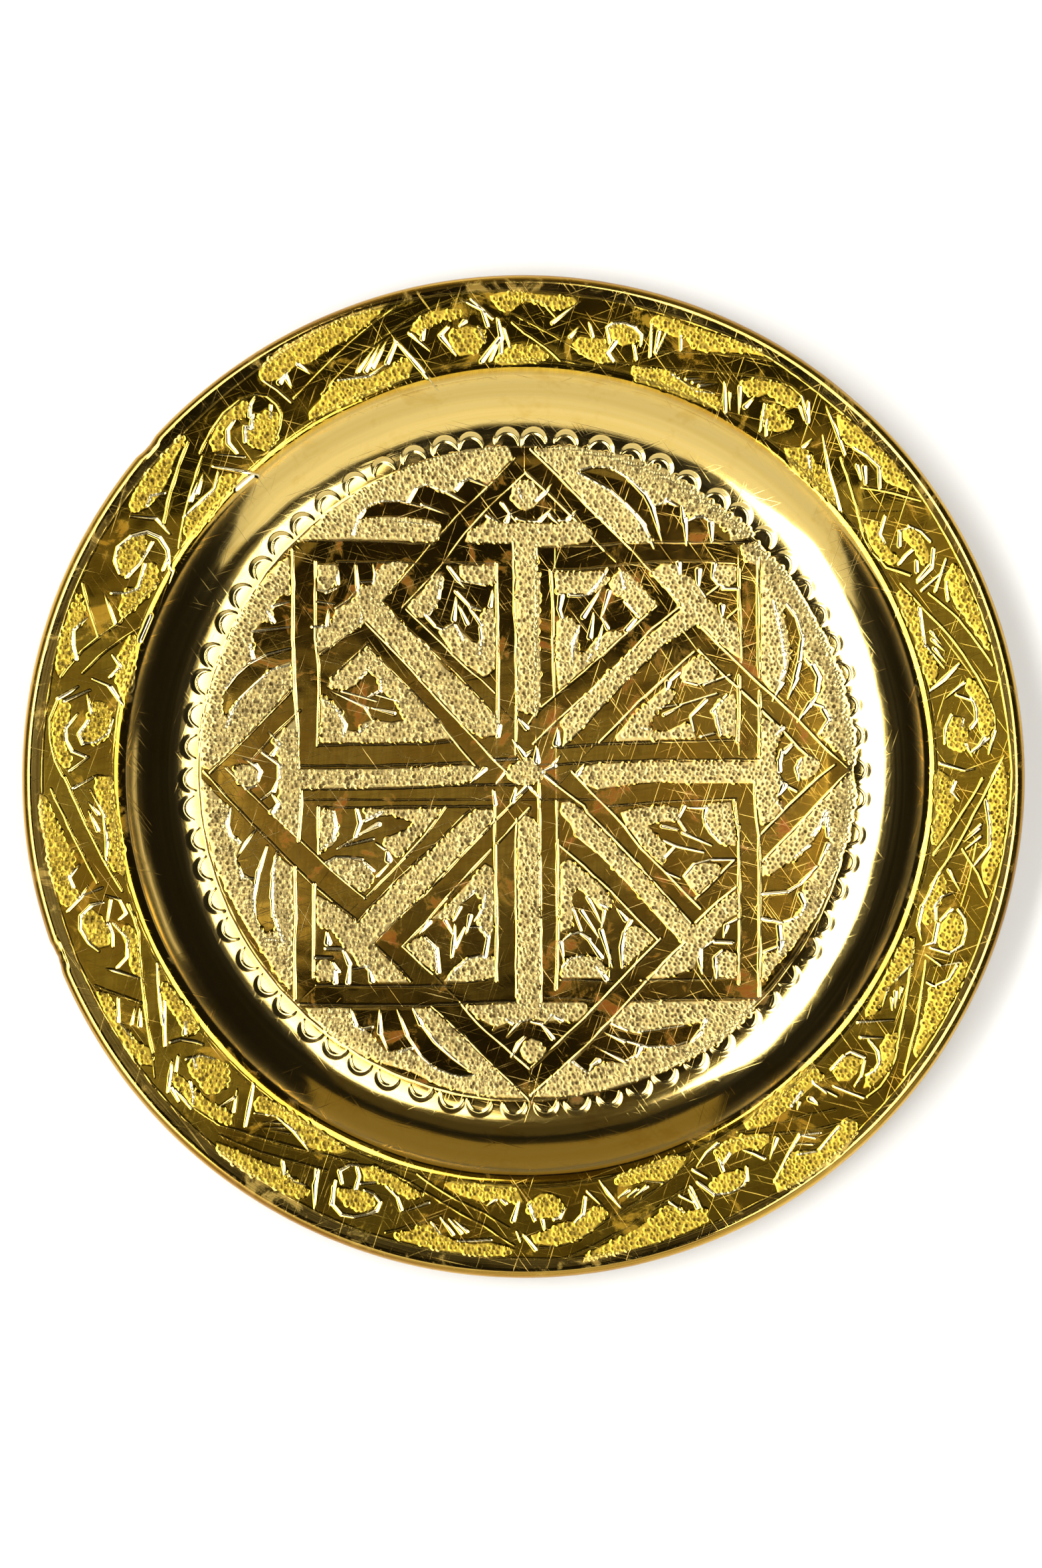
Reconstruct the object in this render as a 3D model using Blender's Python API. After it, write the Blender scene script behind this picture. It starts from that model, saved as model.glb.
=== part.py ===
"""Offering plate: a shallow round dish of hammered brass sheet with a wired edge.

Frame: +Z up, origin on the table under the middle of the dish, the dish's axis
is the Z axis.  Metres.

The dish is one sheet that turns, from the middle outwards, through
  a flat floor  ->  a hollow wall (the cavetto)  ->  a lip  ->  a nearly level
  rim  ->  a bead, rolled down and under, round a stiffening wire.
The bead stops short of the underside of the rim, so the space round the wire
stays open all the way round, as it does on a rolled edge.
"""
import math

import bmesh
import bpy
from mathutils import Vector

# ---------------------------------------------------------------- dimensions
MM = 0.001

PLATE_DIAMETER = 250.0 * MM      # over the bead
SHEET = 1.0 * MM                 # thickness of the brass sheet
FLOOR_RADIUS = 76.3 * MM         # flat part of the floor
COVE_RADIUS = 32.9 * MM          # hollow between floor and wall, at mid-sheet
WALL_LENGTH = 0.3 * MM           # straight part of the wall, along the slope
WALL_SLOPE = math.radians(46.0)  # wall against the table
LIP_RADIUS = 5.0 * MM            # turn from the wall to the rim, at mid-sheet
RIM_SLOPE = math.radians(3.0)    # the rim rises a little outwards
WIRE_DIAMETER = 2.0 * MM         # stiffening wire inside the bead
WIRE_GAP = 0.3 * MM              # clearance between wire and sheet
BEAD_TURN = math.radians(293.0)  # how far the sheet is rolled round the wire

COVE_STEPS = 10
LIP_STEPS = 4
BEAD_STEPS = 10
WIRE_SIDES = 8
ROUND_STEPS = 96                 # facets round the plate

# bead: radius of the middle of the sheet round the wire's centre
BEAD_RADIUS = WIRE_DIAMETER / 2 + WIRE_GAP + SHEET / 2


# ------------------------------------------------------------------ geometry
def sheet_path():
    """Middle line of the sheet from the axis to the end of the bead.

    Returns (points, centre): points are (r, z, heading) and centre is the
    (r, z) of the wire.
    """
    r, z, heading = 0.0, SHEET / 2, 0.0
    points = [(r, z, heading)]

    def straight(length):
        nonlocal r, z
        r += length * math.cos(heading)
        z += length * math.sin(heading)
        points.append((r, z, heading))

    def arc(radius, turn, steps):
        """Positive turn bends upwards, negative bends downwards."""
        nonlocal r, z, heading
        side = 1.0 if turn > 0 else -1.0
        cr = r - side * radius * math.sin(heading)
        cz = z + side * radius * math.cos(heading)
        start = heading
        for i in range(1, steps + 1):
            heading = start + turn * i / steps
            r = cr + side * radius * math.sin(heading)
            z = cz - side * radius * math.cos(heading)
            points.append((r, z, heading))
        return cr, cz

    straight(FLOOR_RADIUS)
    arc(COVE_RADIUS, WALL_SLOPE, COVE_STEPS)
    straight(WALL_LENGTH)
    arc(LIP_RADIUS, RIM_SLOPE - WALL_SLOPE, LIP_STEPS)
    bead_centre_r = PLATE_DIAMETER / 2 - SHEET / 2 - BEAD_RADIUS
    rim_end = bead_centre_r - BEAD_RADIUS * math.sin(RIM_SLOPE)
    straight((rim_end - r) / math.cos(RIM_SLOPE))
    centre = arc(BEAD_RADIUS, -BEAD_TURN, BEAD_STEPS)
    return points, centre


def sheet_outline(points):
    """Closed outline of the sheet: along the upper face, back along the lower."""
    half = SHEET / 2
    upper, lower = [], []
    for r, z, h in points:
        nr, nz = -math.sin(h), math.cos(h)
        upper.append((max(r + nr * half, 0.0), z + nz * half))
        lower.append((max(r - nr * half, 0.0), z - nz * half))
    return upper + lower[::-1]


def material(name, colour, roughness):
    mat = bpy.data.materials.new(name)
    mat.use_nodes = True
    shader = next(n for n in mat.node_tree.nodes if n.type == "BSDF_PRINCIPLED")
    shader.inputs["Base Color"].default_value = (*colour, 1.0)
    shader.inputs["Metallic"].default_value = 1.0
    shader.inputs["Roughness"].default_value = roughness
    mat.diffuse_color = (*colour, 1.0)
    return mat


def turned(name, outline, closed, mat):
    """Turn an (r, z) outline about the Z axis into one closed solid."""
    bm = bmesh.new()
    verts = [bm.verts.new((r, 0.0, z)) for r, z in outline]
    edges = [bm.edges.new(pair) for pair in zip(verts, verts[1:])]
    if closed:
        edges.append(bm.edges.new((verts[-1], verts[0])))
    bmesh.ops.spin(bm, geom=verts + edges, cent=Vector((0, 0, 0)), axis=Vector((0, 0, 1)),
                   angle=2 * math.pi, steps=ROUND_STEPS, use_merge=True, use_duplicate=False)
    bmesh.ops.remove_doubles(bm, verts=bm.verts, dist=2e-6)
    bmesh.ops.dissolve_degenerate(bm, edges=bm.edges, dist=1e-7)
    bmesh.ops.recalc_face_normals(bm, faces=bm.faces)
    if bm.calc_volume(signed=True) < 0:
        bmesh.ops.reverse_faces(bm, faces=bm.faces)
    mesh = bpy.data.meshes.new(name)
    bm.to_mesh(mesh)
    bm.free()
    mesh.materials.append(mat)
    mesh.shade_smooth()
    mesh.set_sharp_from_angle(angle=math.radians(35.0))
    obj = bpy.data.objects.new(name, mesh)
    bpy.context.scene.collection.objects.link(obj)
    return obj


# --------------------------------------------------------------------- build
for old in list(bpy.data.objects):
    bpy.data.objects.remove(old, do_unlink=True)

brass = material("brass_sheet", (0.62, 0.44, 0.16), 0.26)
steel = material("edge_wire", (0.42, 0.40, 0.37), 0.42)

middle_line, wire_centre = sheet_path()

# the dish, with its bead
turned("plate_body", sheet_outline(middle_line), False, brass)

# the wire, which the bead is rolled round
wire_outline = []
for i in range(WIRE_SIDES):
    a = 2 * math.pi * (i + 0.5) / WIRE_SIDES
    wire_outline.append((wire_centre[0] + WIRE_DIAMETER / 2 * math.cos(a),
                         wire_centre[1] + WIRE_DIAMETER / 2 * math.sin(a)))
turned("rim_edge_wire", wire_outline, True, steel)
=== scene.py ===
import math

import bpy
import numpy as np
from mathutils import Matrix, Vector


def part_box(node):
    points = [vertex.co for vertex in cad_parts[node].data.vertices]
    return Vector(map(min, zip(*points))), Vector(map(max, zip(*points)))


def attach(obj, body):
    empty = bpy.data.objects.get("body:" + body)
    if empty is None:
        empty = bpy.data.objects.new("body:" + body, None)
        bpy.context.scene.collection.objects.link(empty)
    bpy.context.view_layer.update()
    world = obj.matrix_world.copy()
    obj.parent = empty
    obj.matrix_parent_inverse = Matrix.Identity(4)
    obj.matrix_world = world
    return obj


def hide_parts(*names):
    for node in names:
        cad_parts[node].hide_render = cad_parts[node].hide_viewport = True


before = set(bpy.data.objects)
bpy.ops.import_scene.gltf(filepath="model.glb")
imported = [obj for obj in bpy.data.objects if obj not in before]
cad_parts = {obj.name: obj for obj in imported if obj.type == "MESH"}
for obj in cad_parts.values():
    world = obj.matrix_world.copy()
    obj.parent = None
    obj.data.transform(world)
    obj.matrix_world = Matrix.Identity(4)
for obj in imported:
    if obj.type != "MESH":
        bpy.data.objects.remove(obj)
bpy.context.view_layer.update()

MM = 0.001

# ------------------------------------------------------------------ the sheet
# The same turned section as the CAD part, in mm.
SHEET = 1.0
FLOOR_R = 76.3
COVE_R = 32.9
WALL_L = 0.3
WALL_A = math.radians(46.0)
LIP_R = 5.0
RIM_A = math.radians(3.0)
WIRE_D = 2.0
WIRE_GAP = 0.3
BEAD_TURN = math.radians(293.0)
BEAD_R = WIRE_D / 2 + WIRE_GAP + SHEET / 2
lo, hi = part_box("plate_body")
OUTER_R = (hi[0] - lo[0]) / 2 / MM         # 125 mm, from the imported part

# fineness of the relief, in mm
STEP = 0.20
SEGMENTS = 3840
RASTER = 0.08

rng = np.random.default_rng(7)

# ---------------------------------------------------------- the drawing's grid
# The engraving is set out on a drawing grid, x to the right and y downwards,
# whose unit is 0.16546 mm at the rim.  The floor lies lower, so its drawing is a
# little larger.  The rim's work is set out by angle, clockwise from the top, and
# radius, in the same unit.
UNIT = 0.16546
CX, CY = 787.5, 1168.2
FLOOR_SCALE = 1.0075


def floor_xy(x, y):
    return (x - CX) * UNIT * FLOOR_SCALE, -(y - CY) * UNIT * FLOOR_SCALE


def rim_xy(deg, r):
    a = math.radians(deg)
    return r * UNIT * math.sin(a), r * UNIT * math.cos(a)


def rows(text):
    """Lines of numbers, commas or blanks between them."""
    out = []
    for line in text.strip().splitlines():
        line = line.split("#")[0].replace(",", " ").split()
        if line:
            out.append([float(v) for v in line])
    return out


def pairs(row):
    return list(zip(row[0::2], row[1::2]))
# ------------------------------------------------------- the medallion: ground
# Outlines of ring-punched ground (x y x y ...).
FLOOR_GROUND = """
# eight fields between the star and the circle
452 811 470 795 500 766 540 741 580 720 620 702 660 687 700 677 740 672 765 672 772 688 740 722 654 815 560 812
802 676 860 670 900 678 940 685 970 695 1000 705 1040 730 1080 760 1110 780 1137 805 1110 813 1000 814 945 816 900 775 840 712
1115 820 1127 818 1141 815 1150 828 1140 850 1125 845 1118 832
1143 830 1150 828 1175 850 1200 885 1220 920 1240 955 1255 990 1267 1020 1275 1060 1285 1100 1288 1140 1282 1150 1240 1110 1200 1072 1160 1037 1147 1020 1147 960 1146 850
1283 1160 1288 1190 1284 1220 1276 1260 1262 1300 1245 1340 1225 1380 1200 1415 1170 1450 1148 1478 1149 1440 1148 1300 1160 1287 1200 1245 1240 1203
803 1650 840 1612 880 1575 920 1536 950 1508 1000 1507 1140 1505 1130 1525 1110 1545 1080 1570 1040 1592 1000 1612 960 1625 920 1637 880 1645 840 1650
460 1516 540 1516 648 1517 700 1564 740 1604 780 1642 790 1652 740 1650 700 1643 660 1632 620 1612 580 1600 540 1585 500 1560 475 1535
303 1170 320 1190 350 1222 420 1290 440 1305 441 1380 439 1440 438 1490 420 1470 395 1430 370 1390 345 1345 325 1300 312 1250 305 1210
435 838 437 1000 440 1032 400 1076 360 1116 316 1158 303 1150 301 1120 306 1080 315 1040 330 990 345 955 370 910 400 870 425 845
# top cell and the channel down to the middle
772 731 785 722 800 724 808 735 812 750 805 762 792 768 778 762 770 750
700 815 706 800 728 788 735 780 745 786 765 788 785 786 815 788 840 789 865 783 880 790 893 802 885 815 850 820 808 822 808 860 813 862 813 900 811 960 814 1000 813 1060 808 1075 795 1072 778 1068 776 1040 779 960 777 900 775 816
# top left corner cell and its channel
478 850 505 848 507 865 500 882 488 892 478 888
478 982 476 950 482 940 495 940 505 925 505 917 530 905 541 890 541 883 560 880 565 862 575 850 600 844 615 850 575 905 585 915 610 945 640 968 670 1005 700 1030 750 1083 750 1106 722 1108 702 1095 662 1052 622 1008 582 966 552 934 545 940 500 970
# left cell and its channel
353 1155 365 1150 380 1152 390 1165 388 1178 375 1185 360 1180 352 1170
449 1157 560 1157 640 1155 700 1151 712 1152 722 1160 705 1175 690 1179 640 1182 560 1185 453 1186 448 1260 430 1243 405 1220 420 1205 420 1190 418 1160 420 1140 410 1115 425 1100 446 1080
# bottom left corner cell and its channel
477 1347 500 1360 540 1390 560 1366 600 1325 640 1290 700 1231 718 1218 742 1218 742 1232 720 1256 680 1297 640 1339 600 1379 562 1417 565 1425 600 1460 615 1478 570 1478 555 1460 540 1452 535 1440 520 1430 512 1412 500 1400 478 1393
478 1448 490 1442 500 1450 508 1465 500 1475 480 1476 476 1465
# bottom cell and its channel
783 1580 790 1568 800 1562 812 1567 822 1580 815 1592 800 1600 788 1592
780 1237 790 1226 802 1232 810 1242 811 1300 812 1400 812 1508 880 1508 885 1520 870 1535 855 1537 840 1535 820 1537 800 1532 780 1540 765 1538 750 1545 735 1540 715 1528 700 1513 778 1509 780 1400
# bottom right corner cell and its channel
846 1207 858 1205 880 1223 920 1265 960 1306 1000 1350 1042 1392 1052 1390 1080 1362 1108 1341 1110 1375 1090 1385 1080 1400 1070 1415 1060 1425 1052 1440 1045 1455 1030 1462 1000 1471 972 1472 1000 1450 1031 1420 1000 1389 960 1345 920 1302 900 1283 866 1256 860 1240 845 1225
1077 1448 1083 1435 1095 1430 1108 1436 1109 1468 1080 1470
# right cell and its channel
1200 1150 1207 1140 1220 1136 1232 1145 1235 1153 1228 1163 1215 1172 1203 1170 1197 1160
884 1182 870 1166 885 1152 900 1149 1000 1146 1141 1146 1147 1140 1147 1080 1165 1088 1178 1100 1172 1113 1166 1130 1167 1150 1173 1168 1176 1182 1166 1195 1178 1212 1165 1232 1148 1240 1142 1222 1137 1178 1020 1178 1000 1175 960 1178 900 1187
# top right corner cell and its channel
980 862 998 848 1020 850 1025 863 1040 868 1050 882 1060 900 1075 908 1082 925 1095 932 1110 938 1114 990 1085 968 1050 938 1035 946 1000 968 960 1006 905 1063 880 1092 848 1122 850 1100 843 1086 880 1047 920 1007 980 955 1027 917 1005 888
1075 852 1083 849 1107 851 1109 875 1095 882 1080 878 1072 868
# the quarters: top diamond, left and right of the channel
613 912 640 885 657 862 665 865 668 875 662 900 655 915 645 925 632 930 620 922
692 851 744 851 744 878 725 880 705 875 693 867
660 950 672 942 685 941 697 952 712 966 722 968 726 955 723 938 725 925 730 917 744 915 745 1000 738 1012 728 1018 715 1008 700 998 680 980
836 862 905 859 918 872 905 885 890 893 862 892 838 893
917 878 933 858 945 861 989 909 963 929 945 910 940 900 925 893
839 935 850 928 862 932 872 945 870 965 872 985 885 978 895 965 905 960 915 950 930 950 938 955 900 987 880 1005 842 1038 838 1000
# left diamond
500 1020 553 974 600 1022 640 1064 679 1110 640 1115 560 1117 482 1117 484 1050
484 1218 500 1218 508 1235 508 1260 500 1272 482 1280
490 1300 500 1292 520 1290 545 1297 560 1310 562 1322 549 1343 520 1326 500 1309
548 1217 665 1217 645 1242 600 1290 590 1285 580 1275 577 1262 610 1250 625 1238 590 1225 570 1228 552 1235
# bottom diamond
612 1425 625 1412 640 1410 655 1425 660 1445 655 1460 640 1452
668 1477 680 1460 700 1443 720 1438 740 1440 744 1445 744 1470 700 1477
650 1382 682 1354 730 1300 741 1306 743 1360 742 1400 735 1412 722 1400 716 1385 728 1355 715 1342 698 1355 688 1368 678 1382
845 1300 857 1293 880 1313 905 1333 922 1356 915 1368 903 1368 890 1350 868 1335 861 1350 862 1378 860 1395 844 1402
846 1455 852 1443 870 1438 895 1440 905 1447 915 1460 912 1471 846 1471
940 1403 955 1392 970 1400 984 1413 941 1453 936 1440 934 1420
# right diamond
935 1222 960 1216 1000 1212 1020 1216 1022 1235 990 1236 975 1242 985 1255 1000 1268 1004 1278 998 1302 980 1285 958 1262 942 1240
1068 1209 1100 1207 1105 1240 1108 1272 1090 1270 1070 1255 1060 1240 1062 1220
1030 1320 1040 1305 1060 1298 1080 1300 1085 1312 1050 1345 1040 1335
1028 1005 1045 991 1055 987 1080 1012 1075 1020 1060 1027 1040 1027 1025 1020
927 1108 960 1070 1003 1033 1015 1042 1013 1052 998 1062 990 1070 982 1080 975 1092 985 1102 1005 1100 1030 1088 1040 1092 1048 1110 980 1113 930 1115
1075 1068 1085 1052 1105 1044 1108 1060 1107 1108 1085 1105 1078 1090
# the little star in the middle
762 1162 773 1150 790 1141 802 1140 806 1150 817 1158 820 1165 812 1175 800 1180 790 1182 775 1178 765 1172
"""

# Leaves left bright in that ground.
FLOOR_LEAVES = """
548 780 540 782 540 777 550 765 575 755 612 753 622 737 640 729 668 742 684 738 692 725 705 719 722 722 738 730 700 765 660 808 664 792 650 783 610 778 580 777
872 707 885 703 900 702 920 705 945 720 960 735 970 742 985 760 1000 758 1010 752 1030 763 1035 775 1045 777 1060 775 1070 785 1085 790 1100 805 1100 813 985 815 978 805 970 790 955 770 935 755 915 737 890 722 872 712
1183 907 1195 920 1203 940 1210 960 1210 985 1215 990 1228 1000 1238 1015 1240 1035 1230 1055 1243 1065 1250 1080 1243 1095 1235 1105 1200 1072 1165 1040 1180 1025 1185 1010 1190 985 1185 950 1178 920
1236 1240 1245 1245 1250 1265 1243 1280 1235 1300 1222 1320 1212 1330 1208 1345 1212 1355 1205 1370 1195 1380 1180 1385 1178 1400 1178 1415 1172 1432 1150 1437 1147 1437 1147 1318 1165 1312 1180 1300 1200 1292 1215 1275 1228 1258
880 1577 920 1537 935 1548 960 1555 980 1548 1010 1543 1040 1540 1060 1537 1058 1550 1050 1560 1035 1570 1015 1575 995 1572 975 1578 968 1585 950 1592 940 1600 920 1598 905 1600 895 1608 885 1613 875 1605 862 1597
525 1517 622 1517 640 1540 655 1565 680 1590 703 1608 715 1618 700 1620 680 1616 650 1603 630 1588 612 1577 590 1582 578 1580 565 1565 548 1547 530 1542
345 1215 385 1250 415 1280 412 1300 408 1330 410 1370 415 1400 400 1405 390 1395 385 1380 382 1360 385 1340 375 1320 360 1310 355 1290 362 1270 355 1262 345 1255 340 1240
437 897 425 893 412 905 410 925 412 935 395 935 385 945 380 955 383 985 372 998 360 1010 345 1028 335 1045 333 1068 340 1080 350 1062 362 1050 385 1028 410 1005 437 995
484 1032 500 1035 520 1037 535 1030 545 1018 555 1010 565 1018 572 1030 575 1040 590 1050 600 1062 605 1075 612 1083 590 1087 560 1083 545 1088 538 1102 522 1098 520 1080 510 1065 492 1052 484 1045
"""

# Long cut lines: width, then x y x y ...
FLOOR_LINES = """
# top left square
3.5 449 813 560 814 654 819
3 704 816 772 817
6 441 828 441 960 444 1040 448 1100 449 1155
5 475 845 475 960 480 1000 480 1060 478 1122
3 507 845 600 846 627 849
3 668 847 753 848
6 747 848 749 960 750 1030 749 1090
2 748 1100 747 1142
5 773 806 774 900 777 960 778 1060 776 1135
3 480 1121 560 1120 640 1119 682 1115
3 450 1152 560 1152 640 1150 690 1147 712 1146
# top right square
5.5 807 820 806 960 806 1078
3.5 808 823 900 821 940 817 1000 816 1127 816
5 828 858 832 900 833 1000 835 1045
3 828 858 870 857 940 850 1000 845 1060 845 1108 847
6 1112 855 1113 900 1116 960 1117 995
6 1113 1016 1113 1060 1111 1115
1.6 1112 820 1112 855
1.6 1113 1116 1113 1136
6 1141 824 1141 900 1143 1000 1144 1018
6 1144 1040 1144 1060 1143 1138
3.5 831 1125 880 1121 921 1118 980 1117 1060 1115 1108 1113
3 795 1151 860 1149 900 1146 1000 1143 1146 1143
# bottom left square
3 450 1187 560 1187 640 1184 690 1181 770 1180 785 1179
7 453 1190 452 1230 449 1265
6 444 1304 445 1380 443 1440 445 1503
6 479 1214 480 1284
6 473 1330 472 1380 472 1470
3 483 1214 520 1215 560 1214 600 1213 745 1213
5 745 1213 745 1270
6.5 745 1270 746 1330 748 1400 747 1475
4 778 1232 776 1280 778 1400 777 1500
3.5 476 1482 540 1484 600 1484 679 1483
3 672 1479 710 1477 747 1472
4 450 1511 540 1512 640 1513 700 1509 776 1507
# bottom right square
6 812 1175 812 1235 813 1300 814 1400 814 1520
5 838 1205 840 1270
6 839 1270 840 1400 837 1488
2 961 1176 1000 1174
3 916 1213 940 1211 980 1208 1040 1204 1108 1202
5 1136 1173 1139 1230 1143 1260
6.5 1143 1260 1144 1300 1144 1400 1143 1480 1143 1498
6 1106 1205 1110 1240
6 1112 1242 1113 1300 1114 1400 1112 1480
3.5 844 1474 880 1475 920 1478
3.5 965 1475 1060 1474 1108 1470
3 820 1500 860 1501 892 1505
3 952 1506 1000 1504 1140 1502
# top diamond
4 776 689 730 737 700 765 650 818 640 830 600 877 573 907
4 792 711 740 760 700 803 660 856 606 914
5 799 676 840 715 883 760 920 795 943 818 950 825
2.5 950 825 970 848
3.5 970 848 1000 880 1029 912
4.5 792 711 826 742 860 775 900 817 910 828
1.8 910 828 928 845
3 932 855 960 885 990 912
4 1025 912 980 948 940 990 900 1030 860 1065 840 1083 803 1119
4 990 911 947 950 880 1010 840 1043 810 1068 795 1090
3 573 907 600 935 640 970 690 1015 740 1070 752 1090
4 612 917 640 943 680 982 700 1003 725 1022 745 1042
# left diamond
4.5 550 936 580 966 620 1008 660 1052 700 1095 740 1138 762 1160
4.5 553 972 580 1000 620 1040 660 1083 680 1110 700 1134 722 1158
4.5 545 937 520 955 482 985
4.5 441 1036 400 1078 360 1120 316 1163
3.5 553 968 530 990 496 1020
4.5 452 1068 409 1108 375 1147
3.5 308 1160 340 1198 380 1240 420 1280 470 1330 500 1355 537 1385
4 340 1155 370 1185 400 1215 450 1262 500 1310 551 1352
4.5 549 1352 600 1300 640 1257 672 1213
3 540 1385 560 1362 600 1320 640 1285 700 1225 718 1213
# bottom diamond
5 562 1420 600 1380 640 1345 680 1303 740 1240 780 1200 795 1185
4.5 606 1424 640 1390 660 1365 700 1320 740 1278
4.5 748 1270 775 1240 798 1215
3.5 565 1422 600 1455 619 1477
4.5 650 1513 700 1560 740 1600 780 1638 796 1653
4 607 1424 640 1455 652 1465
1.6 652 1465 672 1487 692 1507
4.5 692 1507 720 1540 760 1575 797 1607
5 995 1413 960 1448 920 1490 880 1533 840 1570 800 1606
5 1032 1418 1000 1448 960 1492 920 1535 880 1576 840 1612 800 1648
3 1033 1420 1005 1392
2 960 1342 900 1283 866 1256
4 990 1413 960 1382 920 1340 880 1303 843 1272
# right diamond
4 1050 937 1080 967 1117 1003 1145 1030 1166 1047 1200 1080 1240 1122 1276 1155
4.5 1053 978 1090 1015 1113 1035 1140 1060 1180 1100 1214 1135 1232 1150
3.5 1048 938 1000 965 960 1005 905 1060 880 1090 848 1122
4.5 1045 980 1000 1022 960 1058 925 1095 902 1117
4.5 1280 1158 1240 1200 1200 1243 1160 1283 1144 1300
4.5 1258 1150 1232 1170 1200 1200 1160 1240 1144 1258
5 1108 1335 1080 1358 1048 1388
4.5 1107 1293 1080 1320 1048 1352
4.5 815 1163 840 1182 880 1212 885 1222 920 1257 960 1300 1000 1343 1040 1388
4.5 862 1160 885 1185 912 1213 940 1242 950 1255 965 1275 1000 1310 1055 1367
"""

# Thin setting-out lines, only scratched in.
FLOOR_SCRIBED = """
1.5 790 664 790 708
1.5 793 763 793 786
1.5 804 760 804 780
1.6 836 750 836 784
2 836 825 836 855
1.6 836 1042 836 1090
1.4 807 1082 807 1115
2 838 1118 838 1205
1.6 450 1203 900 1203
1.4 774 692 792 708
1.4 794 708 818 695
1.2 447 822 472 845
1.4 900 1115 815 1200
1.3 868 1150 800 1225
1.3 1115 1385 1160 1345
1.3 793 1608 812 1625
1.3 797 1610 797 1665
1.5 815 1600 802 1650
1.3 448 1508 478 1480
1.3 1148 815 1095 862
1.2 752 1060 790 1100
1.2 822 1200 860 1235
1.2 1118 1285 1165 1235
"""
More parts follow.
